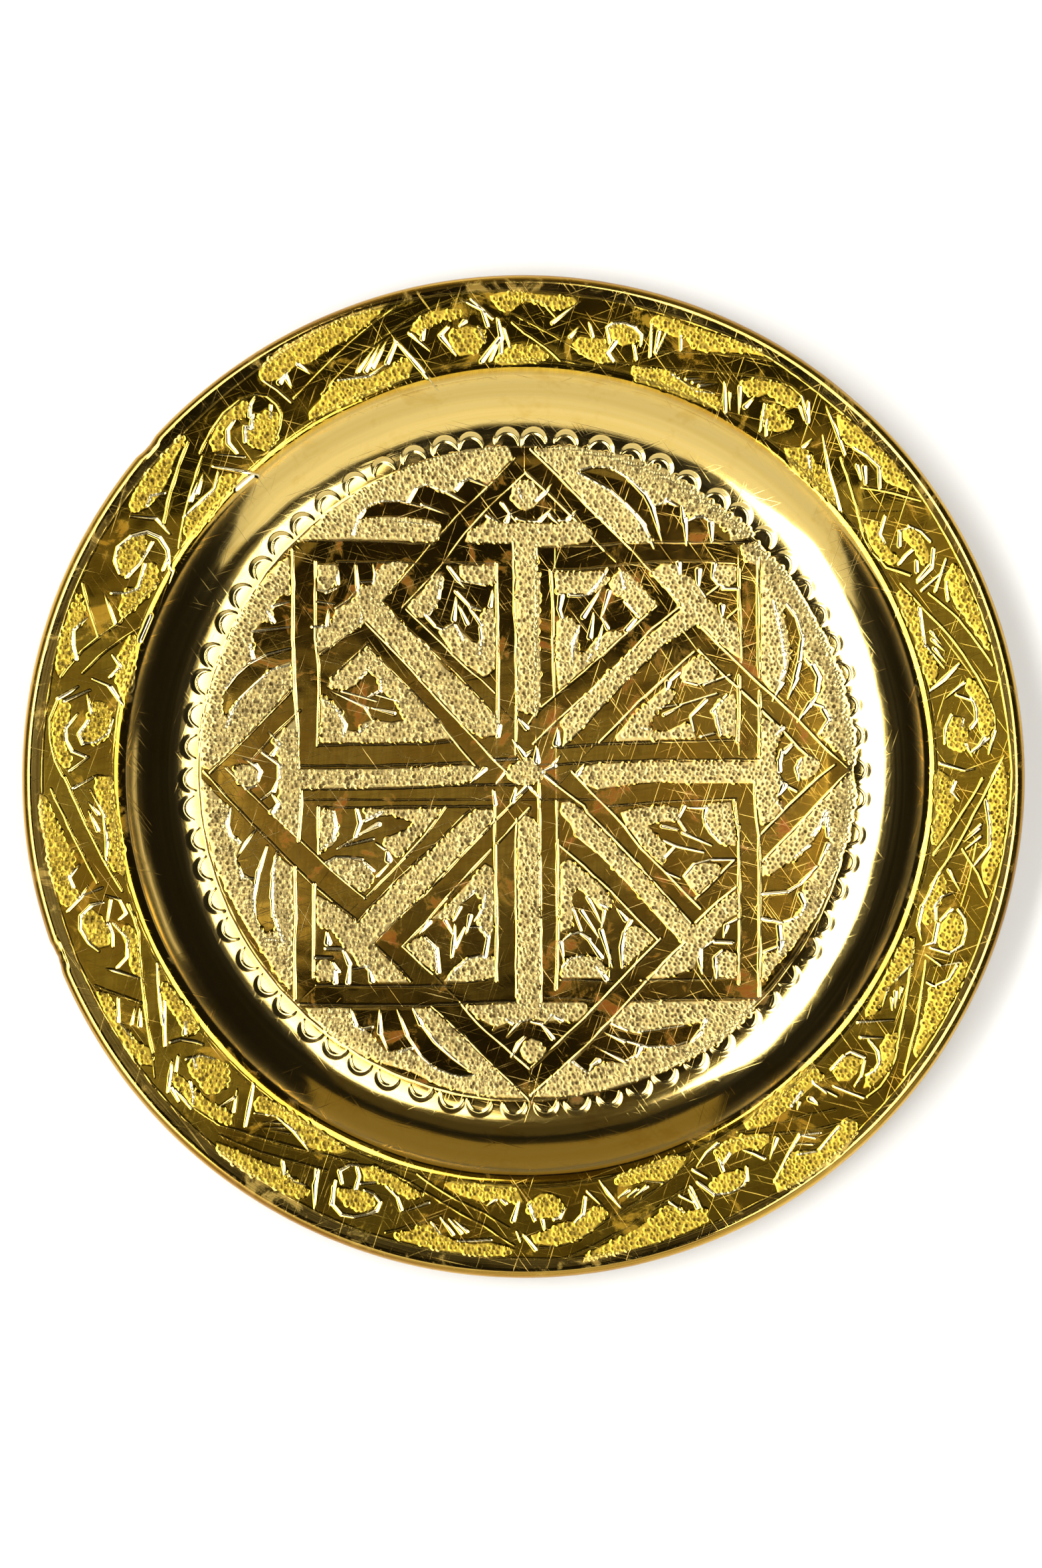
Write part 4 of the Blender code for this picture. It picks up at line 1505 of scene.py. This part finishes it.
# hammered unevenness, the same for both faces so that the sheet keeps its gauge
x0, y0 = mid_r * ca, mid_r * sa
inner = 1 - ramp(mid_r, 76, 84)
cove = ramp(mid_r, 78, 86) * (1 - ramp(mid_r, 99, 103))
rim = ramp(mid_r, 100, 104)
swell = (inner * (0.10 * waves(x0, y0, 42.0, 1) + 0.030 * waves(x0, y0, 13.0, 2))
         + cove * (0.26 * waves(x0, y0, 34.0, 3) + 0.070 * waves(x0, y0, 11.0, 4))
         + rim * (0.20 * waves(x0, y0, 40.0, 5) + 0.045 * waves(x0, y0, 12.0, 6)))
swell += 0.012 * waves(x0, y0, 4.5, 7)
swell += 0.10 * inner                      # keeps the underside off the table
across = 0.10 * waves(x0, y0, 30.0, 8) * rim

is_top = top > 0.75
facing = ramp(nor_z, 0.15, 0.75)
relief = np.where(is_top, sample(depth, x, y) * facing, 0.0)
smooth(depth, 30)
ghost = np.where(top < 0.25, sample(depth, x, y) * 0.30, 0.0) * (region_id != 5)

# faces: dz by the swell, then the engraving along the face's own normal
z = base_z + swell
move_r = -nor_r * relief + nor_r * ghost + across
z = z - nor_z * relief + nor_z * ghost
x = x + move_r * ca
y = y + move_r * sa

# two knocks in the rolled edge
degrees = (np.degrees(np.arctan2(ca, sa))) % 360      # clockwise from the top
bead = ramp(mid_r, 120.5, 123.0) + (region_id == 5) * 0.0
for centre, wide, push in ((248.8, 2.1, 0.74), (311.2, 1.7, 0.62)):
    away = np.abs((degrees - centre + 180) % 360 - 180) / wide
    knock = np.where(away < 1, (1 - away ** 2) ** 1.5, 0.0) * (0.8 + 0.35 * waves(x0, y0, 1.6, 9))
    outer = (region_id == 5) & is_top
    p = knock * push * bead * (0.35 + 0.65 * ramp(nor_r, -0.2, 0.6))
    p = np.where(outer, p, knock * 0.15 * bead * (region_id == 5))
    x -= p * ca * np.maximum(nor_r, 0.15)
    y -= p * sa * np.maximum(nor_r, 0.15)
    z -= p * np.clip(nor_z, 0, 1) * 0.8

lowest = z[(region_id == 0) & (top < 0.25)].min()
z = np.where(top < 0.25, z, z)
z += max(0.0, 0.004 - lowest)

# ------------------------------------------------------------------- the mesh
loops, sizes = [], []


def stitch(a, b):
    """Faces between ring a and ring b, whose counts are the same or 2 : 1."""
    na, nb, sa_, sb_ = counts[a], counts[b], starts[a], starts[b]
    if na == nb:
        k = np.arange(na)
        k1 = (k + 1) % na
        loops.append(np.stack([sa_ + k, sb_ + k, sb_ + k1, sa_ + k1], 1).ravel())
        sizes.append(np.full(na, 4))
        return
    fine_a = na > nb
    nf, nc = (na, nb) if fine_a else (nb, na)
    sf, sc = (sa_, sb_) if fine_a else (sb_, sa_)
    k = np.arange(nc)
    f0, f1, f2 = sf + 2 * k, sf + 2 * k + 1, sf + (2 * k + 2) % nf
    c0, c1 = sc + k, sc + (k + 1) % nc
    tris = [np.stack([f0, c0, f1], 1), np.stack([f1, c0, c1], 1), np.stack([f1, c1, f2], 1)]
    if not fine_a:
        tris = [t[:, ::-1] for t in tris]
    loops.append(np.concatenate(tris).ravel())
    sizes.append(np.full(3 * nc, 3))


for k in range(len(chain) - 1):
    if counts[k] == counts[k + 1] or max(counts[k], counts[k + 1]) == 2 * min(counts[k], counts[k + 1]):
        stitch(k, k + 1)
    else:
        raise SystemExit(f"rings {k} and {k + 1} don't match: {counts[k]} {counts[k + 1]}")
first, final = total, total + 1
k = np.arange(counts[0])
loops.append(np.stack([np.full(counts[0], first), starts[0] + k, starts[0] + (k + 1) % counts[0]], 1).ravel())
sizes.append(np.full(counts[0], 3))
k = np.arange(counts[-1])
loops.append(np.stack([starts[-2] + k, np.full(counts[-1], final), starts[-2] + (k + 1) % counts[-1]], 1).ravel())
sizes.append(np.full(counts[-1], 3))
loops = np.concatenate(loops).astype(np.int32)
sizes = np.concatenate(sizes).astype(np.int32)

zc_top = z[starts[0]:starts[1]].mean()
zc_low = z[starts[-2]:starts[-1]].mean()
co = np.empty((total + 2, 3), np.float32)
co[:total, 0], co[:total, 1], co[:total, 2] = x, y, z
co[first] = (0, 0, zc_top)
co[final] = (0, 0, zc_low)
co *= MM

mesh = bpy.data.meshes.new("plate_sheet")
mesh.vertices.add(total + 2)
mesh.vertices.foreach_set("co", co.ravel())
mesh.loops.add(len(loops))
mesh.loops.foreach_set("vertex_index", loops)
mesh.polygons.add(len(sizes))
mesh.polygons.foreach_set("loop_start", np.concatenate([[0], np.cumsum(sizes)[:-1]]).astype(np.int32))
mesh.update(calc_edges=True)
mesh.polygons.foreach_set("use_smooth", np.ones(len(sizes), bool))


def paint(name, values):
    attribute = mesh.attributes.new(name, "FLOAT", "POINT")
    full = np.zeros(total + 2, np.float32)
    full[:total] = values
    attribute.data.foreach_set("value", full)


smooth(soft_ground, 1)
paint("mat", np.where(is_top, sample(soft_ground, x, y), 0.0))
paint("dirt_and_pit_shade", np.where(is_top, sample(dirt_and_pit_shade, x, y) * (1 - sample(bright, x, y)), 0.0))
paint("cut", np.where(is_top, sample(bright, x, y) * facing, 0.0))
paint("rim", ramp(mid_r, 99.5, 102.5) * is_top)
paint("under", 1.0 - top)
border = np.interp(degrees, np.array(BORDER[0::2]), np.array(BORDER[1::2])) * UNIT
paint("edge", ramp(np.hypot(x, y), border - 0.1, border + 0.4) * is_top)
paint("roll", ramp(nor_r, 0.10, 0.55) * ramp(mid_r, 121.0, 122.8) * is_top)
paint("cove", ramp(mid_r, 80, 87) * (1 - ramp(mid_r, 100.0, 101.6)))
plate = bpy.data.objects.new("plate_sheet", mesh)
bpy.context.scene.collection.objects.link(plate)
print("plate_sheet", total, "vertices", len(sizes), "faces, lowest", round(float(z.min()), 3),
      "highest", round(float(z.max()), 3))

# ------------------------------------------------------------------ materials
class Nodes:
    """Short hand for building a node tree."""

    def __init__(self, name):
        self.mat = bpy.data.materials.new(name)
        self.mat.use_nodes = True
        self.tree = self.mat.node_tree
        self.tree.nodes.clear()
        self.out = self.add("ShaderNodeOutputMaterial")
        self.shader = self.add("ShaderNodeBsdfPrincipled")
        self.link(self.shader.outputs[0], self.out.inputs["Surface"])

    def add(self, kind, **props):
        node = self.tree.nodes.new(kind)
        for key, value in props.items():
            setattr(node, key, value)
        return node

    def link(self, a, b):
        self.tree.links.new(a, b)

    def put(self, socket, value):
        if isinstance(value, bpy.types.NodeSocket):
            self.link(value, socket)
        else:
            socket.default_value = value

    def attribute(self, name):
        return self.add("ShaderNodeAttribute", attribute_type="GEOMETRY", attribute_name=name).outputs["Fac"]

    def math(self, op, a, b=0.0, c=0.0, clamp=False):
        node = self.add("ShaderNodeMath", operation=op, use_clamp=clamp)
        for socket, value in zip(node.inputs, (a, b, c)):
            self.put(socket, value)
        return node.outputs[0]

    def mix(self, fac, a, b):
        node = self.add("ShaderNodeMix", data_type="RGBA")
        self.put(node.inputs[0], fac)
        for socket, value in ((node.inputs[6], a), (node.inputs[7], b)):
            self.put(socket, (*value, 1.0) if isinstance(value, tuple) else value)
        return node.outputs[2]

    def span(self, value, a, b, lo=0.0, hi=1.0):
        node = self.add("ShaderNodeMapRange", interpolation_type="SMOOTHSTEP")
        for socket, v in zip(node.inputs, (value, a, b, lo, hi)):
            self.put(socket, v)
        return node.outputs[0]

    def place(self, turn=0.0, scale=(1, 1, 1), offset=(0, 0, 0)):
        """Object coordinates, turned about Z and then stretched."""
        coords = self.add("ShaderNodeTexCoord").outputs["Object"]
        node = self.add("ShaderNodeMapping", vector_type="TEXTURE")
        scale = tuple(1.0 / v for v in scale)
        node.inputs["Rotation"].default_value = (0, 0, turn)
        node.inputs["Scale"].default_value = scale
        node.inputs["Location"].default_value = offset
        self.link(coords, node.inputs["Vector"])
        return node.outputs[0]

    def noise(self, vector, scale, detail=3.0, rough=0.55, distort=0.0):
        node = self.add("ShaderNodeTexNoise")
        self.link(vector, node.inputs["Vector"])
        node.inputs["Scale"].default_value = scale
        node.inputs["Detail"].default_value = detail
        node.inputs["Roughness"].default_value = rough
        node.inputs["Distortion"].default_value = distort
        return node.outputs["Fac"]

    def rings(self, across, along, offset=0.0):
        """Coordinates stretched along circles about the plate's axis."""
        coords = self.add("ShaderNodeTexCoord").outputs["Object"]
        parts = self.add("ShaderNodeSeparateXYZ")
        self.link(coords, parts.inputs[0])
        px, py = parts.outputs[0], parts.outputs[1]
        rr = self.math("SQRT", self.math("ADD", self.math("MULTIPLY", px, px), self.math("MULTIPLY", py, py)))
        join = self.add("ShaderNodeCombineXYZ")
        self.link(self.math("MULTIPLY", rr, across), join.inputs[0])
        self.link(self.math("MULTIPLY", px, along), join.inputs[1])
        self.link(self.math("MULTIPLY_ADD", py, along, offset), join.inputs[2])
        return join.outputs[0]


def brass():
    n = Nodes("engraved_brass")
    sh = n.shader
    mat_, cut, rim_, under = (n.attribute(k) for k in ("mat", "cut", "rim", "under"))
    edge, cove_ = n.attribute("edge"), n.attribute("cove")
    here = n.place()

    clouds = n.noise(here, 38.0, 5.0, 0.6)
    blotch = n.noise(n.place(0.4, (1, 1, 1), (3, 1, 0)), 75.0, 4.0, 0.65, 0.4)
    grain = n.noise(here, 1500.0, 2.0, 0.6)
    fleck = n.noise(n.place(0.9, (1, 1, 1), (0, 5, 0)), 420.0, 3.0, 0.7)

    # fine scratches lying several ways
    scratch = None
    for k, (turn, offset) in enumerate(((0.35, 1), (1.25, 4), (2.2, 7), (2.9, 11))):
        lines = n.noise(n.place(turn, (46.0, 2600.0, 46.0), (offset, 0, 0)), 1.0, 2.0, 0.5)
        lines = n.span(lines, 0.635, 0.78)
        scratch = lines if scratch is None else n.math("MAXIMUM", scratch, lines)
    # brushing left by polishing, two ways
    brush = n.span(n.noise(n.place(1.50, (24.0, 760.0, 24.0), (5, 0, 3)), 1.0, 3.0, 0.62), 0.40, 0.62)
    brush_b = n.span(n.noise(n.place(0.15, (24.0, 900.0, 24.0), (1, 0, 8)), 1.0, 3.0, 0.62), 0.42, 0.64)
    brush = n.math("MULTIPLY", n.math("ADD", brush, brush_b), 0.5)
    # polishing marks that run round the plate
    rub = n.noise(n.rings(3800.0, 22.0), 1.0, 3.0, 0.6)
    rub_wide = n.noise(n.rings(900.0, 9.0, 3.0), 1.0, 3.0, 0.6)

    # colour
    flat = n.mix(n.span(clouds, 0.38, 0.66), (0.86, 0.530, 0.075), (0.64, 0.350, 0.038))
    flat = n.mix(n.math("MULTIPLY", n.span(blotch, 0.56, 0.70), 0.55), flat, (0.38, 0.19, 0.026))
    stain = n.math("MULTIPLY", n.span(n.noise(n.place(2.0, (1, 1, 1), (9, 2, 0)), 88.0, 6.0, 0.68, 0.8), 0.555, 0.65), 0.85)
    flat = n.mix(stain, flat, (0.32, 0.062, 0.008))
    flat = n.mix(n.math("MULTIPLY", brush, 0.50), flat, (0.44, 0.225, 0.022))
    flat = n.mix(n.math("MULTIPLY", scratch, 0.6), flat, (0.92, 0.72, 0.30))
    wall = n.mix(n.span(rub_wide, 0.3, 0.75), (0.88, 0.65, 0.215), (0.86, 0.62, 0.175))
    wall = n.mix(n.math("MULTIPLY", n.span(blotch, 0.52, 0.66), 0.35), wall, (0.72, 0.44, 0.06))
    rim_flat = n.mix(n.span(clouds, 0.40, 0.64), (0.90, 0.61, 0.046), (0.62, 0.36, 0.018))
    rim_flat = n.mix(n.math("MULTIPLY", brush, 0.45), rim_flat, (0.48, 0.255, 0.013))
    flat = n.mix(n.math("MULTIPLY", rim_, 0.6), flat, rim_flat)
    base = n.mix(cove_, flat, wall)
    punched = n.mix(rim_, (0.56, 0.42, 0.155), (0.56, 0.38, 0.042))
    punched = n.mix(n.math("MULTIPLY", n.span(fleck, 0.45, 0.75), 0.30), punched, (0.40, 0.28, 0.06))
    base = n.mix(mat_, base, punched)
    # punch middles darkened almost to black: grime and painted pit shade
    base = n.mix(n.math("MULTIPLY", n.attribute("dirt_and_pit_shade"), 0.96), base, (0.040, 0.021, 0.004))
    line = n.mix(rim_, (0.64, 0.50, 0.195), (0.52, 0.38, 0.085))
    line = n.mix(n.span(cut, 0.84, 0.95), line, (0.97, 0.84, 0.50))
    base = n.mix(n.math("MULTIPLY", cut, 0.85), base, line)
    rimmed = n.mix(n.span(rub, 0.35, 0.65), (0.76, 0.545, 0.14), (0.44, 0.265, 0.05))
    base = n.mix(n.math("MULTIPLY", edge, 0.85), base, rimmed)
    dull = n.mix(n.span(clouds, 0.35, 0.65), (0.55, 0.38, 0.14), (0.36, 0.235, 0.085))
    roll = n.math("MULTIPLY", n.attribute("roll"), n.span(clouds, 0.30, 0.60, 0.72, 0.95))
    base = n.mix(roll, base, n.mix(n.span(rub_wide, 0.35, 0.65), (0.60, 0.365, 0.055), (0.27, 0.125, 0.018)))
    base = n.mix(under, base, dull)
    n.link(base, sh.inputs["Base Color"])
    # red oxide isn't metal: it scatters the light
    clean = n.math("SUBTRACT", 1.0, n.math("ADD", mat_, n.math("ADD", cut, cove_), clamp=True), clamp=True)
    oxide = n.math("MULTIPLY", n.math("MULTIPLY", stain, clean), 0.50)
    n.link(n.math("SUBTRACT", 1.0, oxide), sh.inputs["Metallic"])

    # roughness
    rough = n.span(clouds, 0.36, 0.66, 0.04, 0.085)
    rough = n.math("MULTIPLY_ADD", scratch, 0.22, rough)
    rough = n.math("MULTIPLY_ADD", stain, 0.04, rough)
    rough = n.math("MULTIPLY_ADD", brush, 0.022, rough)
    rough_wall = n.span(rub_wide, 0.3, 0.7, 0.075, 0.125)
    mix1 = n.add("ShaderNodeMix", data_type="FLOAT")
    n.put(mix1.inputs[0], cove_); n.put(mix1.inputs[2], rough); n.put(mix1.inputs[3], rough_wall)
    mix2 = n.add("ShaderNodeMix", data_type="FLOAT")
    n.put(mix2.inputs[0], mat_); n.put(mix2.inputs[2], mix1.outputs[0]); n.put(mix2.inputs[3], n.span(fleck, 0.3, 0.7, 0.26, 0.36))
    mix3 = n.add("ShaderNodeMix", data_type="FLOAT")
    n.put(mix3.inputs[0], n.math("MULTIPLY", cut, 0.8)); n.put(mix3.inputs[2], mix2.outputs[0]); n.put(mix3.inputs[3], 0.17)
    mix5 = n.add("ShaderNodeMix", data_type="FLOAT")
    n.put(mix5.inputs[0], roll); n.put(mix5.inputs[2], mix3.outputs[0]); n.put(mix5.inputs[3], n.span(rub, 0.3, 0.7, 0.24, 0.34))
    mix4 = n.add("ShaderNodeMix", data_type="FLOAT")
    n.put(mix4.inputs[0], under); n.put(mix4.inputs[2], mix5.outputs[0]); n.put(mix4.inputs[3], n.span(blotch, 0.3, 0.7, 0.30, 0.46))
    n.link(mix4.outputs[0], sh.inputs["Roughness"])

    # micro relief
    fine = n.math("MULTIPLY", scratch, -0.5)
    fine = n.math("MULTIPLY_ADD", grain, 0.10, fine)
    round_ = n.math("MULTIPLY", n.math("ADD", rub, rub_wide), n.math("ADD", cove_, edge, clamp=True))
    fine = n.math("MULTIPLY_ADD", round_, 0.25, fine)
    fine = n.math("MULTIPLY_ADD", n.math("MULTIPLY", fleck, mat_), 1.2, fine)
    bump = n.add("ShaderNodeBump")
    bump.inputs["Strength"].default_value = 0.55
    bump.inputs["Distance"].default_value = 0.00002
    n.link(fine, bump.inputs["Height"])
    n.link(bump.outputs[0], sh.inputs["Normal"])
    return n.mat


def wire_steel():
    n = Nodes("drawn_wire")
    sh = n.shader
    cloud = n.noise(n.place(0.3), 220.0, 4.0, 0.6)
    drawn = n.noise(n.rings(5200.0, 30.0, 2.0), 1.0, 3.0, 0.6)
    rust = n.span(n.noise(n.place(1.1, (1, 1, 1), (2, 2, 5)), 90.0, 5.0, 0.65), 0.55, 0.70)
    base = n.mix(n.span(drawn, 0.35, 0.65), (0.44, 0.42, 0.39), (0.30, 0.285, 0.265))
    base = n.mix(n.math("MULTIPLY", rust, 0.7), base, (0.24, 0.105, 0.04))
    n.link(base, sh.inputs["Base Color"])
    sh.inputs["Metallic"].default_value = 0.9
    n.link(n.span(cloud, 0.3, 0.7, 0.32, 0.55), sh.inputs["Roughness"])
    bump = n.add("ShaderNodeBump")
    bump.inputs["Strength"].default_value = 0.5
    bump.inputs["Distance"].default_value = 0.00003
    n.link(drawn, bump.inputs["Height"])
    n.link(bump.outputs[0], sh.inputs["Normal"])
    return n.mat


def paper():
    n = Nodes("pale_floor")
    sh = n.shader
    cloud = n.noise(n.place(), 3.0, 3.0, 0.5)
    tooth = n.noise(n.place(0.5), 900.0, 2.0, 0.6)
    n.link(n.mix(cloud, (0.91, 0.91, 0.905), (0.94, 0.94, 0.935)), sh.inputs["Base Color"])
    sh.inputs["Specular IOR Level"].default_value = 0.1
    n.link(n.span(tooth, 0.3, 0.7, 0.75, 0.85), sh.inputs["Roughness"])
    bump = n.add("ShaderNodeBump")
    bump.inputs["Strength"].default_value = 0.15
    bump.inputs["Distance"].default_value = 0.00005
    n.link(tooth, bump.inputs["Height"])
    n.link(bump.outputs[0], sh.inputs["Normal"])
    return n.mat


plate.data.materials.append(brass())
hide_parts("plate_body")
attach(plate, "root")

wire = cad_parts["rim_edge_wire"]
steel = wire_steel()
for slot in wire.material_slots:
    slot.material = steel

# ---------------------------------------------------------------------- floor
span_ = 9.0
floor_mesh = bpy.data.meshes.new("studio_floor")
floor_mesh.from_pydata([(-span_, -span_, -0.0004), (span_, -span_, -0.0004),
                        (span_, span_, -0.0004), (-span_, span_, -0.0004)], [], [(0, 1, 2, 3)])
floor_mesh.materials.append(paper())
floor = bpy.data.objects.new("studio_floor", floor_mesh)
bpy.context.scene.collection.objects.link(floor)

# --------------------------------------------------------------------- lights
scene = bpy.context.scene
world = bpy.data.worlds.new("studio")
world.use_nodes = True
world.node_tree.nodes["Background"].inputs[0].default_value = (1.0, 0.93, 0.80, 1.0)
# dark overhead, pale towards the horizon, like a studio wall behind the table
tree = world.node_tree
split = tree.nodes.new("ShaderNodeSeparateXYZ")
fade = tree.nodes.new("ShaderNodeMapRange")
fade.clamp = True
fade.inputs["From Min"].default_value, fade.inputs["From Max"].default_value = 0.0, 0.24
fade.inputs["To Min"].default_value, fade.inputs["To Max"].default_value = 1.0, 0.0
bend, glow = tree.nodes.new("ShaderNodeMath"), tree.nodes.new("ShaderNodeMath")
bend.operation, glow.operation = "POWER", "MULTIPLY_ADD"
bend.inputs[1].default_value = 4.0
glow.inputs[1].default_value, glow.inputs[2].default_value = 0.42, 0.012
tree.links.new(tree.nodes.new("ShaderNodeTexCoord").outputs["Generated"], split.inputs[0])
tree.links.new(split.outputs["Z"], fade.inputs["Value"])
tree.links.new(fade.outputs["Result"], bend.inputs[0])
tree.links.new(bend.outputs[0], glow.inputs[0])
tree.links.new(glow.outputs[0], tree.nodes["Background"].inputs[1])
scene.world = world


def card(name, place, size, glow, colour=(1.0, 1.0, 1.0), at=(0, 0, 0)):
    """A soft box facing the plate; glow is the brightness of its face."""
    light = bpy.data.lights.new(name, "AREA")
    light.shape = "RECTANGLE"
    light.size, light.size_y = size
    light.energy = glow * math.pi * size[0] * size[1]
    light.color = colour
    obj = bpy.data.objects.new(name, light)
    obj.location = place
    obj.rotation_euler = (Vector(at) - Vector(place)).to_track_quat("-Z", "Y").to_euler()
    scene.collection.objects.link(obj)
    obj.visible_camera = False
    return obj


def toward(name, azimuth, zenith, height, size, glow, colour):
    """A card at an azimuth clockwise from +Y and an angle from overhead."""
    out = height * math.tan(math.radians(zenith))
    a = math.radians(azimuth)
    return card(name, (out * math.sin(a), out * math.cos(a), height), size, glow, colour)


toward("softbox_right", 80, 17.0, 1.10, (1.30, 0.385), 5.8, (1.0, 0.99, 0.96))
toward("softbox_left", 275, 35.0, 1.00, (1.75, 0.49), 7.6, (1.0, 0.99, 0.96))
toward("front_card", 184, 63.0, 0.613, (3.2, 1.32), 0.80, (1.0, 0.98, 0.92))
toward("front_glow_low", 184, 50.0, 0.87, (2.7, 0.64), 0.11, (1.0, 0.98, 0.94))
toward("front_glow_high", 184, 44.5, 0.96, (2.3, 0.37), 0.10, (1.0, 0.98, 0.94))
toward("back_card", 2, 74.0, 0.36, (1.5, 0.50), 0.24, (1.0, 0.76, 0.26))
toward("low_strip", 78, 80.0, 0.22, (0.75, 0.06), 0.8, (1.0, 0.92, 0.75))

# a dim ceiling strip over the plate: the sheen of the flats along its middle
strip = (1.0, 0.96, 0.88)
card("ceiling", (0.01, 0.0, 1.10), (0.26, 0.090), 0.215, strip, at=(0.01, 0.0, 0.0))
card("ceiling_low", (0.02, -0.068, 1.10), (0.20, 0.045), 0.085, strip, at=(0.02, -0.068, 0.0))
card("ceiling_left", (-0.098, -0.018, 1.10), (0.100, 0.105), 0.72, strip, at=(-0.098, -0.018, 0.0))
card("ceiling_right", (0.098, -0.002, 1.10), (0.110, 0.100), 0.50, strip, at=(0.098, -0.002, 0.0))
toward("back_dim", 0, 36.0, 1.0, (1.1, 0.72), 0.055, (1.0, 0.78, 0.30))

# the far floor: narrow downward beams that never reach the plate
for name, px, py, sx, sy in (("far_back", 0.0, 5.1, 18.0, 7.8), ("far_front", 0.0, -5.1, 18.0, 7.8),
                             ("far_right", 5.1, 0.0, 7.8, 2.4), ("far_left", -5.1, 0.0, 7.8, 2.4)):
    beam = card(name, (px, py, 1.6), (sx, sy), 0.86, (1.0, 1.0, 1.0), at=(px, py, 0.0))
    beam.data.spread = math.radians(50)

# --------------------------------------------------------------------- camera
cam = bpy.data.cameras.new("camera")
cam.sensor_fit = "AUTO"
cam.sensor_width = 36.0
cam.lens = 36.0 * 1.6 / 0.3903
cam.clip_start, cam.clip_end = 0.05, 50.0
cam.dof.use_dof = False
camera = bpy.data.objects.new("camera", cam)
camera.location = (-0.00058, -0.00187, 1.6135)
camera.rotation_euler = (0.0, 0.0, 0.0)
scene.collection.objects.link(camera)
scene.camera = camera
scene.view_settings.view_transform = "Standard"
scene.view_settings.look = "None"
